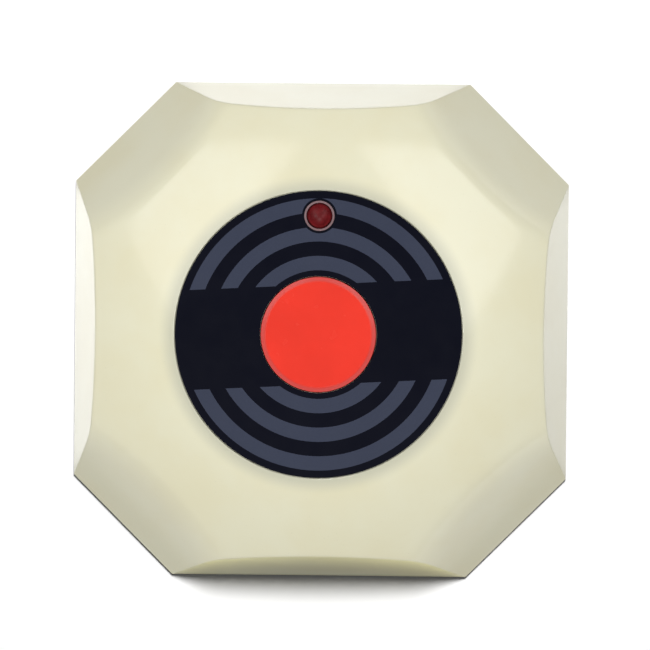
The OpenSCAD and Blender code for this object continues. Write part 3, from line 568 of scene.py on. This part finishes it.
class ShellForm:
    def __init__(self, s):
        low, high = boxMm("top_shell")
        self.s = s
        self.half = high.x
        self.baseZ = low.z
        self.seatZ = boxMm("label_adhesive")[0].z
        self.seatR = labelRadius / mm + s["labelGap"]
        self.domeZ = self.seatZ + s["seatDepth"] - math.sqrt(s["domeRadius"] ** 2 - self.seatR ** 2)
        self.cornerQ = (2 * self.half - s["cornerCut"]) / math.sqrt(2)
        side = math.radians(s["sideLean"])
        corner = math.radians(s["cornerLean"])
        self.tanSide = math.tan(side)
        self.cosSide = math.cos(side)
        self.tanCorner = math.tan(corner)
        self.cosCorner = math.cos(corner)
        self.sinCorner = math.sin(corner)

    # Reach of a face and height of the front, at angle a seen from above and t below the skin
    def sideRun(self, a, z, t):
        reach = self.half - t / self.cosSide - (z - self.baseZ) * self.tanSide
        return reach / max(abs(math.cos(a)), abs(math.sin(a)))

    def cornerRun(self, a, z, t):
        reach = self.cornerQ - t / self.cosCorner - (z - self.baseZ) * self.tanCorner
        return reach * math.sqrt(2) / (abs(math.cos(a)) + abs(math.sin(a)))

    def top(self, r, a, t=0.0):
        dome = self.domeZ + math.sqrt(max((self.s["domeRadius"] - t) ** 2 - r * r, 0))
        q = r * (abs(math.cos(a)) + abs(math.sin(a))) / math.sqrt(2)
        corner = self.baseZ + (self.cornerQ - q) / self.tanCorner - t / self.sinCorner
        melt = max(self.s["blend"] - abs(dome - corner), 0) ** 2 / (4 * self.s["blend"])
        soft = min(dome, corner) - melt
        return min(soft, self.seatZ - t) if t else soft

    def edge(self, a, low, t=0.0):
        # Crisp edge where a flat side meets the front, or a point just up the corner face
        bottom, high = low, self.seatZ
        for _ in range(self.s["halvings"]):
            mid = (bottom + high) / 2
            if self.top(self.sideRun(a, mid, t), a, t) > mid:
                bottom = mid
            else:
                high = mid
        start = low + self.s["cornerStart"]
        if bottom > start:
            return self.sideRun(a, bottom, t), bottom
        return self.cornerRun(a, start, t), start

    def spokes(self):
        # Angles all the way round, closer together towards the edge c between a side and a corner face
        c = math.atan2(self.cornerQ * math.sqrt(2) - self.half, self.half)
        sides, corners = self.s["sideSteps"], self.s["cornerSteps"]
        eighth = [c * (1 - (1 - i / sides) ** self.s["sideCrowding"]) for i in range(sides)]
        eighth += [c + (math.pi / 4 - c) * i / corners for i in range(corners)]
        quarter = eighth + [math.pi / 4] + [math.pi / 2 - e for e in eighth[:0:-1]]
        return [math.pi / 2 * k + e for k in range(4) for e in quarter]


def softTurn(before, corner, after, reach, steps):
    # Short curve in place of a corner, reaching less than half way along its two sides
    c = Vector(corner)
    ends = []
    for side in (Vector(before) - c, Vector(after) - c):
        ends.append(c + side.normalized() * min(reach, side.length * 0.45))
    return [tuple((1 - u) ** 2 * ends[0] + 2 * u * (1 - u) * c + u * u * ends[1])
            for u in (k / (steps - 1) for k in range(steps))]


def outerRun(f, a):
    # From the rim up the side, round the edge, over the front and down into the label's seat
    s = f.s
    edge = f.edge(a, f.baseZ)
    rim = (min(f.sideRun(a, f.baseZ, 0), f.cornerRun(a, f.baseZ, 0)), f.baseZ)
    first = (rim[0] - s["rimInset"], f.baseZ)
    points = [first] + softTurn(first, rim, edge, s["rimRound"], 4)
    inner = edge[0] - s["edgeReach"]
    turn = softTurn(points[-1], edge, (inner, f.top(inner, a)), s["edgeRound"], 7)
    start, stop = Vector(points[-1]), Vector(turn[0])
    points += [tuple(start.lerp(stop, k)) for k in s["sideRings"]] + turn
    rEnd = f.seatR + s["seatMargin"]
    for k in range(1, s["rings"] + 1):
        r = turn[-1][0] + (rEnd - turn[-1][0]) * k / s["rings"]
        points.append((r, f.top(r, a)))
    seatEdge = (f.seatR, f.top(f.seatR, a))
    points += softTurn(points[-1], seatEdge, (f.seatR, f.seatZ), s["seatRound"], 5)
    return points + [(f.seatR, f.seatZ)]


def plugRun(f, a):
    # Form that fills the shell inside its skin; what the CAD shell leaves of it is the hollow
    s = f.s
    t = s["plugDepth"]
    foot = min(f.sideRun(a, f.baseZ, t), f.cornerRun(a, f.baseZ, t))
    edge = f.edge(a, f.baseZ, t)
    reach = f.seatR - s["plugInset"] - edge[0]
    rings = [edge[0] + reach * k / s["plugRings"] for k in range(1, s["plugRings"] + 1)]
    return [(foot, f.baseZ - over), (foot, f.baseZ), edge] + [(r, f.top(r, a, t)) for r in rings]


def skinSolid(name, f, run):
    # Closed solid from one run of (radius, height) points along each spoke
    spokes = f.spokes()
    rings = list(zip(*[run(f, a) for a in spokes]))
    points = [(r * math.cos(a), r * math.sin(a), z) for ring in rings for a, (r, z) in zip(spokes, ring)]
    return meshPiece(name, points, ringFaces(len(spokes), len(rings)))


def makeShell(s):
    form = ShellForm(s)
    outer = skinSolid("housingShell", form, outerRun)
    hollow = skinSolid("hollow", form, plugRun)
    cut(hollow, copyOfNode("top_shell"))
    cut(outer, hollow)
    ceiling, bezelHigh = boxMm("lamp_bezel")
    above = boxMm("button_cap")[1].z + over
    cut(outer, rod(cap["radius"] + s["capGap"], ceiling.z, above, sides=128))
    cut(outer, rod(bezelHigh.x + s["lampGap"], ceiling.z, above, lampMiddle / mm))
    smooth(outer)
    standFor(outer, "top_shell")
    return outer


# Button cap: flat red top with a bevelled rim, a skirt with a flange, a stem and ribs inside
cap = {"radius": 10, "bevelWidth": 0.85, "bevelDepth": 0.4, "roof": 1.6, "wall": 1.2, "stem": 2,
       "flange": 1.5, "flangeGap": 0.1, "ribs": 6, "ribWidth": 1, "ribSink": 0.5, "ribRise": 0.2,
       "slotWidth": 1.6, "slotDepth": 0.9, "edge": 0.07, "sides": 192}


def makeCap(c):
    low, high = boxMm("button_cap")
    flangeTop = boxMm("lamp_bezel")[0].z - c["flangeGap"]
    flangeLow = flangeTop - c["flange"]
    skirt = c["radius"] - c["wall"]
    roof = high.z - c["roof"]
    obj = spun("buttonCap", [
        (0, high.z), (c["radius"] - c["bevelWidth"], high.z), (c["radius"], high.z - c["bevelDepth"]),
        (c["radius"], flangeTop), (high.x, flangeTop), (high.x, flangeLow), (skirt, flangeLow),
        (skirt, roof), (c["stem"], roof), (c["stem"], low.z), (0, low.z)], sides=c["sides"])
    ribLow = (c["stem"] - c["ribSink"], -c["ribWidth"] / 2, flangeLow)
    ribHigh = (skirt + c["ribSink"], c["ribWidth"] / 2, roof + c["ribRise"])
    for k in range(c["ribs"]):
        weld(obj, block(ribLow, ribHigh, 360 / c["ribs"] * k))
    cut(obj, block((-c["slotWidth"] / 2, -high.x - over, flangeLow - over),
                   (c["slotWidth"] / 2, -high.x + c["slotDepth"], flangeTop)))
    softenEdges(obj, c["edge"], degrees=15)
    standFor(obj, "button_cap", "button")


print("shell:", len(makeShell(shell).data.polygons), "faces")
makeCap(cap)


# Label: round film with the button's bore and the lamp's hole
label = {"boreGap": 0.195, "lampGap": 0.05, "edge": 0.06, "sides": 256}


def makeLabel(s):
    low, high = boxMm("face_label")
    bore = cap["radius"] + s["boreGap"]
    outline = [(bore, low.z), (high.y, low.z), (high.y, high.z), (bore, high.z), (bore, low.z)]
    obj = spun("faceLabel", outline, sides=s["sides"])
    hole = boxMm("lamp_bezel")[1].x + s["lampGap"]
    cut(obj, rod(hole, low.z - over, high.z + over, lampMiddle / mm))
    softenEdges(obj, s["edge"])
    standFor(obj, "face_label")


makeLabel(label)


# Signal lamp: round-nosed lens with its flange, and the pale ring that laps over it
lamp = {"radius": 2.5, "flangeHeight": 1, "noseSteps": 16, "ringGap": 0.05, "lipWidth": 0.42,
        "lipDepth": 0.6, "ringBevel": 0.1, "ringEdge": 0.03}


def makeLamp(s):
    low, high = boxMm("lamp_lens")
    at = (lampMiddle.x / mm, lampMiddle.y / mm, 0)
    flangeTop = low.z + s["flangeHeight"]
    nose = arc((0, high.z - s["radius"]), s["radius"], 0, 90, s["noseSteps"])
    outline = [(0, low.z), (high.x, low.z), (high.x, flangeTop), (s["radius"], flangeTop)]
    lens = spun("lampLens", outline + nose[:-1] + [(0, high.z)], at, 96)
    smooth(lens, 35)
    standFor(lens, "lamp_lens")
    low, high = boxMm("lamp_bezel")
    inner = s["radius"] + s["ringGap"]
    lip = high.x - s["lipWidth"]
    bevel = s["ringBevel"]
    ring = spun("lampRing", [
        (inner, low.z), (high.x, low.z), (high.x, high.z - bevel), (high.x - bevel, high.z), (lip, high.z),
        (lip, high.z - s["lipDepth"]), (inner, high.z - s["lipDepth"]), (inner, low.z)], at, 128)
    softenEdges(ring, s["ringEdge"])
    standFor(ring, "lamp_bezel")


makeLamp(lamp)
print("button, label and lamp made")


# Pieces whose CAD form is right, with their edges broken by so many millimetres
softEdges = {"base_plate": 0.15, "circuit_board": 0.05, "switch_base": 0.08, "switch_cover": 0.06,
             "encoder_chip": 0.08, "positive_contact": 0.05, "negative_contact": 0.05,
             "switch_plunger": 0.12, "saw_resonator": 0.12}


def breakEdges(name, width, body):
    obj = copyOfNode(name)
    mergeFlatFaces(obj)
    softenEdges(obj, width)
    standFor(obj, name, body)


for name, width in softEdges.items():
    breakEdges(name, width, "button" if name == "switch_plunger" else "housing")
print("edges broken on", len(softEdges), "pieces")


# Battery door: the CAD form with a row of grip grooves near its thumb edge
door = {"edge": 0.12, "grooves": 6, "grooveWidth": 0.6, "grooveDepth": 0.3, "grooveLength": 15,
        "taper": 0.08, "pitch": 1.25, "firstGroove": 1.6}


def makeDoor(s):
    low, high = boxMm("battery_door")
    obj = copyOfNode("battery_door")
    for k in range(s["grooves"]):
        y = low.y + s["firstGroove"] + k * s["pitch"]
        half = s["grooveLength"] / 2 * (1 - s["taper"] * k)
        cut(obj, block((-half, y, low.z - over), (half, y + s["grooveWidth"], low.z + s["grooveDepth"])))
    mergeFlatFaces(obj)
    softenEdges(obj, s["edge"])
    standFor(obj, "battery_door", "battery_door")


makeDoor(door)


# Rubber feet: turned once and copied, each with a shallow hollow below
feet = {"radius": 4.5, "bevel": 0.6, "hollow": 2.6, "hollowDepth": 0.25, "hollowSlope": 0.4}


def makeFeet(s):
    low, high = boxMm("rubber_feet")
    radius = s["radius"]
    bevel = s["bevel"]
    outline = [(0, s["hollowDepth"]), (s["hollow"] - s["hollowSlope"], s["hollowDepth"]), (s["hollow"], 0)]
    outline += [(radius - bevel, 0)] + arc((radius - bevel, bevel), bevel, -70, 0, 5)
    outline += [(radius, high.z), (0, high.z)]
    foot = spun("foot", outline, sides=96)
    smooth(foot, 35)
    x, y = high.x - radius, high.y - radius
    places = [(sx * x, sy * y, 0) for sx in (-1, 1) for sy in (-1, 1)]
    standFor(joined("rubberFeet", copiesAt(foot, places)), "rubber_feet")


makeFeet(feet)


# Screws: pan head with a cross recess and a helical thread, head down
screws = {"case_screws": {"seat": 3.0, "shank": 1.28, "length": 9, "head": 2.3, "headHeight": 1.7,
                          "pitch": 0.95, "thread": 0.28,
                          "places": [(x, y) for x in (-26.5, 26.5) for y in (-26.5, 26.5)]},
          "board_screws": {"seat": 11.4, "shank": 0.98, "length": 7, "head": 1.9, "headHeight": 1.4,
                           "pitch": 0.75, "thread": 0.22,
                           "places": [(x, y) for x in (-18, 18) for y in (-9, 23)]}}
screwForm = {"sunk": 0.3, "plain": 0.2, "tip": 0.35, "tipLength": 1.6, "ridgeShare": 0.32, "edge": 0.06,
             "sides": 28, "ringsPerTurn": 10}
# In shares of the head's radius and height
panHead = [(0, -1), (0.55, -1), (0.82, -0.88), (0.96, -0.62), (1, -0.3), (1, 0), (0, 0)]
recess = {"reach": 0.55, "halfWidth": 0.13, "from": 1.1, "to": 0.45}


def threadedShank(s, form):
    # Rings up the shank whose radius follows the thread, drawn to a blunt point at the end
    start = -form["sunk"]
    length = s["length"]
    sides = form["sides"]
    rows = int((length - start) / s["pitch"] * form["ringsPerTurn"])
    points = []
    for k in range(rows + 1):
        z = start + (length - start) * k / rows
        slim = min(1, form["tip"] + (length - z) / (form["tipLength"] * s["shank"]))
        for i in range(sides):
            turn = (z / s["pitch"] - i / sides) % 1
            ridge = max(0, 1 - abs(turn - 0.5) / form["ridgeShare"]) if z > form["plain"] else 0
            r = (s["shank"] - s["thread"] * (1 - ridge)) * slim
            angle = 2 * math.pi * i / sides
            points.append((r * math.cos(angle), r * math.sin(angle), z))
    return meshPiece("shank", points, ringFaces(sides, rows + 1))


def makeScrews(name, s, form):
    r, h = s["head"], s["headHeight"]
    head = spun("screw", [(x * r, z * h) for x, z in panHead], sides=64)
    softenEdges(head, form["edge"], degrees=60)
    reach, wide = recess["reach"] * r, recess["halfWidth"] * r
    for turn in (0, 90):
        cut(head, block((-reach, -wide, -recess["from"] * h), (reach, wide, -recess["to"] * h), turn))
    weld(head, threadedShank(s, form))
    smooth(head, 35)
    places = [(*place, s["seat"]) for place in s["places"]]
    standFor(joined(name.replace("_s", "S"), copiesAt(head, places)), name)


for name, values in screws.items():
    makeScrews(name, values, screwForm)
print("door, feet and screws made")


# Small cell: sleeve with rolled shoulders and a crimp, and its two metal ends
cell = {"radius": 5.15, "shoulder": 0.5, "crimpFrom": 2.6, "crimpWidth": 0.9, "crimpDepth": 0.12,
        "crimpSlope": 0.25, "capRadius": 4.35, "capBevel": (0.1, 0.08), "tipRadius": 1.8, "tipRound": 0.35}


def makeCell(s):
    low, high = boxMm("battery")
    at = (0, (low.y + high.y) / 2, (low.z + high.z) / 2)
    r, q = s["radius"], s["shoulder"]
    crimpLow = high.x - s["crimpFrom"] - s["crimpWidth"]
    crimpHigh = high.x - s["crimpFrom"]
    waist = r - s["crimpDepth"]
    outline = [(0, low.x)] + arc((r - q, low.x + q), q, -90, 0, 6)
    outline += [(r, crimpLow), (waist, crimpLow + s["crimpSlope"]), (waist, crimpHigh - s["crimpSlope"])]
    outline += [(r, crimpHigh)] + arc((r - q, high.x - q), q, 0, 90, 6) + [(0, high.x)]
    sleeve = spun("cellSleeve", outline, at, 128, "X")
    smooth(sleeve, 35)
    standFor(sleeve, "battery")
    endLow, endHigh = boxMm("battery_terminals")
    wide = s["capRadius"]
    inset, rise = s["capBevel"]
    outline = [(0, endLow.x), (wide - inset, endLow.x), (wide, endLow.x + rise), (wide, low.x), (0, low.x)]
    flat = spun("flatEnd", outline, at, 96, "X")
    tip, t = s["tipRadius"], s["tipRound"]
    outline = [(0, high.x), (tip, high.x)] + arc((tip - t, endHigh.x - t), t, 0, 90, 5) + [(0, endHigh.x)]
    nub = spun("tipEnd", outline, at, 64, "X")
    ends = joined("cellEnds", [flat, nub])
    smooth(ends, 35)
    standFor(ends, "battery_terminals")


makeCell(cell)


# Wound and soft pieces, along the same paths as their CAD forms but with finer turns
coil = {"at": (-15, 14), "radius": 2.2, "wire": 0.4, "pitch": 1.3, "turns": 5.5, "lift": 0.1, "perTurn": 48}
spring = {"wire": 0.3, "wideRadius": 3.4, "narrowRadius": 1.8, "turns": 3.5, "gap": 0.05, "perTurn": 48}
leads = {"radius": 0.6, "straight": 0.6, "bend": 4, "rise": 1.3, "below": 0.9, "boardPlace": (10, -11.2),
         "steps": 40}


def coilPath(s, boardTop):
    x, y = s["at"]
    middle = boardTop + s["radius"] + s["wire"] + s["lift"]
    steps = int(s["turns"] * s["perTurn"])
    turns = []
    for i in range(steps + 1):
        angle = math.pi - 2 * math.pi * i / s["perTurn"]
        turns.append((x + s["pitch"] * i / s["perTurn"], y + s["radius"] * math.cos(angle),
                      middle + s["radius"] * math.sin(angle)))
    first, last = turns[0], turns[-1]
    half = (boardTop + middle) / 2
    return ([(first[0], first[1], boardTop), (first[0], first[1], half)] + turns
            + [(last[0], last[1], half), (last[0], last[1], boardTop)])


def springPath(s):
    plate, cellEnd = boxMm("negative_contact")[1], boxMm("battery_terminals")[0]
    low, high = boxMm("battery")
    start, stop = plate.x + s["wire"] + s["gap"], cellEnd.x - s["wire"] - s["gap"]
    y, z = (low.y + high.y) / 2, (low.z + high.z) / 2
    steps = int(s["turns"] * s["perTurn"])
    path = []
    for i in range(steps + 1):
        share, angle = i / steps, 2 * math.pi * i / s["perTurn"]
        r = s["wideRadius"] + (s["narrowRadius"] - s["wideRadius"]) * share
        path.append((start + (stop - start) * share, y + r * math.cos(angle), z + r * math.sin(angle)))
    return path


def leadPath(s, side, boardTop):
    # Soft bend from the contact's tab to the board; side is -1 for its mirrored twin
    low, high = boxMm("positive_contact")
    tab = Vector((low.x, (low.y + high.y) / 2, high.z - s["below"]))
    pad = Vector((*s["boardPlace"], boardTop))
    inward, up = Vector((-1, 0, 0)), Vector((0, 0, 1))
    guides = [tab + inward * s["straight"], tab + inward * (s["straight"] + s["bend"]),
              pad + up * (s["straight"] + s["rise"] * s["bend"]), pad + up * s["straight"]]
    path = [tab]
    for k in range(s["steps"] + 1):
        u = k / s["steps"]
        weights = ((1 - u) ** 3, 3 * u * (1 - u) ** 2, 3 * u * u * (1 - u), u ** 3)
        path.append(sum((g * w for g, w in zip(guides, weights)), Vector((0, 0, 0))))
    return [(side * p.x, p.y, p.z) for p in path + [pad]]


boardLow, boardHigh = boxMm("circuit_board")
standFor(tubeAlong("antennaCoil", coilPath(coil, boardHigh.z), coil["wire"]), "antenna_coil")
standFor(tubeAlong("cellSpring", springPath(spring), spring["wire"]), "battery_spring")
for side, name in ((1, "positive_wire"), (-1, "negative_wire")):
    path = leadPath(leads, side, boardHigh.z)
    standFor(tubeAlong(name.replace("_w", "W"), path, leads["radius"], 6), name)
print("cell, coil, spring and leads made")


# Board parts: chips with tinned ends, a three-leg part and a can, and solder under the pins
chips = [((-18 + 3 * i, 8), (2, 1.25, 0.6), "x") for i in range(4)]
chips += [((6.5 + 3 * i, 2.4), (1.25, 2, 0.9), "y") for i in range(3)]
boardParts = {"chips": chips, "endShare": 0.2, "endProud": 0.03, "endOverlap": 0.8, "edge": 0.06,
              "transistor": {"at": (8, -6), "size": (2.9, 1.3, 1.1), "inset": 0.15, "lift": 0.12,
                             "leg": (0.4, 0.25, 0.5), "legInset": 0.25},
              "can": {"at": (-9, -7), "outline": [(0, 0), (2.5, 0), (2.5, 0.5), (2.35, 0.65), (2.35, 0.8),
                                                  (2.5, 0.95), (2.5, 2.75), (2.25, 3), (0, 3)]}}
snapDome = {"thick": 0.1, "steps": 14}
solder = {"radius": 0.85, "neck": 0.3, "height": 0.7, "waistRadius": 0.6, "waistHeight": 0.35,
          "places": [(sx * 3.15, sy * 2.25) for sx in (-1, 1) for sy in (-1, 1)]
          + [(s * 1.27, lampMiddle.y / mm) for s in (-1, 1)] + [(13 + s * 2.54, 11) for s in (-1, 0, 1)]}


def makeBoardParts(s, top):
    bodies, ends = [], []
    for (x, y), (w, d, h), along in s["chips"]:
        axis = "xy".index(along)
        size = Vector((w, d, h))
        end = s["endShare"] * size[axis]
        inset = Vector((s["endProud"],) * 3)
        inset[axis] = end * s["endOverlap"]
        low = Vector((x, y, top))
        lowBody, highBody = low + inset, low + size - inset
        lowBody.z = top
        bodies.append(block(lowBody, highBody))
        for shift in (0, size[axis] - end):
            endLow, endHigh = low.copy(), low + size
            endLow[axis] += shift
            endHigh[axis] = endLow[axis] + end
            ends.append(block(endLow, endHigh))
    t = s["transistor"]
    (x, y), (w, d, h), leg = t["at"], t["size"], t["leg"]
    bodies.append(block((x, y + t["inset"], top + t["lift"]), (x + w, y + d - t["inset"], top + h)))
    for legX, legY in ((t["legInset"], 0), (w - t["legInset"] - leg[0], 0), ((w - leg[0]) / 2, d - leg[1])):
        low = Vector((x + legX, y + legY, top))
        ends.append(block(low, low + Vector(leg)))
    ends.append(spun("can", s["can"]["outline"], (*s["can"]["at"], top), 64))
    for name, made, slotName in (("chipBodies", bodies, "part_ceramic"),
                                 ("chipEnds", ends, "tinned_metal")):
        obj = joined(name, made)
        softenEdges(obj, s["edge"], degrees=50)
        standFor(obj, "board_parts", "housing", slotName)


def makeSolder(s, low):
    # Small cones of solder round each pin, under the board
    waist = (s["radius"] * s["waistRadius"], low - s["height"] * s["waistHeight"])
    outline = [(0, low), (s["radius"], low), waist, (s["neck"], low - s["height"]), (0, low - s["height"])]
    cone = spun("solder", outline, sides=32)
    smooth(cone, 50)
    obj = joined("solderCones", copiesAt(cone, [(x, y, 0) for x, y in s["places"]]))
    dress(obj, "tinned_metal")
    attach(obj, "housing")


def makeSnapDome(s):
    # Thin metal dome under the plunger
    low, high = boxMm("snap_dome")
    rise = high.z - low.z - s["thick"]
    reach = high.x
    bend = (reach ** 2 + rise ** 2) / (2 * rise)
    below = [(r, low.z + rise - bend + math.sqrt(bend ** 2 - r * r))
             for r in (reach * k / s["steps"] for k in range(s["steps"] + 1))]
    dome = spun("snapDome", below + [(r, z + s["thick"]) for r, z in reversed(below)], sides=96)
    smooth(dome, 35)
    standFor(dome, "snap_dome")
    travel = max(next(j["range_m"] for j in frame["joints"] if j["name"] == "button_press")) / mm
    1 - travel / (high.z - low.z)
    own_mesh(dome)


makeBoardParts(boardParts, boardHigh.z)
makeSolder(solder, boardLow.z)
makeSnapDome(snapDome)
print("board parts and solder made")


# Studio: pale floor, two large soft panels, five round lamps overhead, and a dim sky
studio = {"floorSize": 4.0, "floorBounce": 0.1, "floorShown": 1.07, "floorShownFar": 5.0,
          "shownFrom": 0.08, "shownTo": 0.9,
          "glow": {"sides": (1.58, -4.8, 7.6), "middle": (0.54, 2.5, 3.6), "far": (1.04, 2.5, -2.5)},
          "middleStart": 0.0475, "middleEnd": 0.053, "farStart": 0.054, "farEnd": 0.066,
          "nearStart": -0.040, "nearEnd": -0.044, "belowStart": -0.0453, "belowEnd": -0.0485,
          "belowGlow": 0.85, "belowEnds": 1800, "belowTint": (1, 0.93, 0.45),
          "sky": 0.4, "skyLean": -0.2, "skyFadeLow": 0.15, "skyFadeHigh": 0.5, "skyHigh": 0.1,
          "panelSize": (1.52, 0.74), "panelAlong": (0.813, 0.554, 0.183),
          "panelBack": (-0.296, 0.121, 0.948), "lampDistance": 1.1}
panels = {"left": {"radiance": 1.88, "side": -1, "place": (-0.868, 0.664, 0.636)},
          "right": {"radiance": 2.18, "side": 1, "place": (0.902, 0.669, 0.636)}}
overhead = {"key": {"radiance": 8, "tilt": 26, "towards": 90, "width": 0.2},
            "floorKey": {"radiance": 63, "tilt": 22.5, "towards": 80, "width": 0.28},
            "fillLeft": {"radiance": 27, "tilt": 28, "towards": 180, "width": 0.2},
            "fillRight": {"radiance": 17.5, "tilt": 28, "towards": 0, "width": 0.2},
            "fillNear": {"radiance": 33, "tilt": 28, "towards": 270, "width": 0.2}}


def makeFloor(s):
    # The camera sees plain white, and polished faces mirror a glow that differs from one zone to the next
    pick()
    bpy.ops.mesh.primitive_plane_add(size=s["floorSize"], location=(0, 0, 0))
    floor = bpy.context.object
    floor.name = "floor"
    m = Shader("floorWhite", {})
    rays = m.node("ShaderNodeLightPath").socket.node.outputs
    mirrored = Wire(m, rays["Is Glossy Ray"]) + Wire(m, rays["Is Transmission Ray"])
    x, y = m.part(0), m.part(1)
    corner = (x.maths("ABSOLUTE", x) + y.maths("ABSOLUTE", y)) / math.sqrt(2)
    levels = {name: level + right * x + up * y for name, (level, right, up) in s["glow"].items()}
    below = m.between(y, s["belowEnd"], s["belowStart"], s["belowGlow"], 0) + s["belowEnds"] * x * x
    glow = below + (levels["sides"] - below) * m.between(y, s["nearEnd"], s["nearStart"])
    glow = glow + (levels["middle"] - glow) * m.between(corner, s["middleStart"], s["middleEnd"])
    glow = glow + (levels["far"] - glow) * m.between(corner, s["farStart"], s["farEnd"])
    white = m.between(y, s["nearEnd"], s["nearStart"])
    white = white + (1 - white) * m.between(corner, s["middleStart"], s["middleEnd"])
    glow = m.node("ShaderNodeCombineXYZ", None, {k: glow * (tint + (1 - tint) * white)
                                                 for k, tint in enumerate(s["belowTint"])})
    shown = m.between(m.radius(), s["shownFrom"], s["shownTo"], s["floorShown"], s["floorShownFar"])
    colour = m.mixColour(Wire(m, rays["Is Camera Ray"]), [s["floorBounce"]] * 3, shown)
    colour = m.mixColour(mirrored, colour, glow)
    paper = m.node("ShaderNodeBsdfDiffuse", None, {"Color": colour})
    m.tree.links.new(paper.socket, m.tree.nodes["Material Output"].inputs["Surface"])
    floor.data.materials.append(m.material)
    return floor


def addLamp(name, radiance, size, place, along, back):
    # Area lamp that shines against its back direction; a single size makes it round
    data = bpy.data.lights.new(name, "AREA")
    data.size = size[0]
    if len(size) == 1:
        data.shape = "DISK"
        area = math.pi * size[0] ** 2 / 4
    else:
        data.shape = "RECTANGLE"
        data.size_y = size[1]
        area = size[0] * size[1]
    data.energy = radiance * math.pi * area
    obj = newObject(name, data)
    obj.matrix_world = Matrix((along, back.cross(along), back)).transposed().to_4x4()
    obj.location = place
    return obj


def makeLamps(s, floor):
    # One lamp lights the floor alone and gives it the object's shadow; the others light the object alone
    receivers = {}
    for name, state in (("objectOnly", "EXCLUDE"), ("floorOnly", "INCLUDE")):
        receivers[name] = bpy.data.collections.new(name)
        receivers[name].objects.link(floor)
        receivers[name].collection_objects[0].light_linking.link_state = state
    for name, p in panels.items():
        mirror = Vector((p["side"], 1, 1))
        along, back = (Vector(s[key]).normalized() * mirror for key in ("panelAlong", "panelBack"))
        made = addLamp(name, p["radiance"], s["panelSize"], p["place"], along, back)
        made.light_linking.receiver_collection = receivers["objectOnly"]
    for name, p in overhead.items():
        tilt, towards = math.radians(p["tilt"]), math.radians(p["towards"])
        along = Vector((-math.sin(towards), math.cos(towards), 0))
        lean = math.sin(tilt)
        back = Vector((lean * math.cos(towards), lean * math.sin(towards), math.cos(tilt)))
        made = addLamp(name, p["radiance"], (p["width"],), back * s["lampDistance"], along, back)
        lit = "floorOnly" if name == "floorKey" else "objectOnly"
        made.light_linking.receiver_collection = receivers[lit]


def makeSky(s):
    # Dim sky: brightest low down, fading upwards and towards the far side
    world = bpy.data.worlds.new("studio")
    bpy.context.scene.world = world
    world.use_nodes = True
    tree = world.node_tree
    place = tree.nodes.new("ShaderNodeTexCoord")
    split = tree.nodes.new("ShaderNodeSeparateXYZ")
    tree.links.new(place.outputs["Generated"], split.inputs[0])
    ramps = []
    for axis, values in (("Y", (-1.0, 1.0, s["sky"] - s["skyLean"], s["sky"] + s["skyLean"])),
                         ("Z", (s["skyFadeLow"], s["skyFadeHigh"], 1.0, s["skyHigh"]))):
        ramp = tree.nodes.new("ShaderNodeMapRange")
        for socket, value in enumerate(values, 1):
            ramp.inputs[socket].default_value = value
        tree.links.new(split.outputs[axis], ramp.inputs[0])
        ramps.append(ramp)
    product = tree.nodes.new("ShaderNodeMath")
    product.operation = "MULTIPLY"
    for k, ramp in enumerate(ramps):
        tree.links.new(ramp.outputs[0], product.inputs[k])
    tree.links.new(product.outputs[0], tree.nodes["Background"].inputs["Strength"])
    tree.nodes["Background"].inputs["Color"].default_value = (1, 1, 1, 1)


makeLamps(studio, makeFloor(studio))
makeSky(studio)
bpy.context.scene.view_settings.view_transform = "Standard"
print("studio ready")
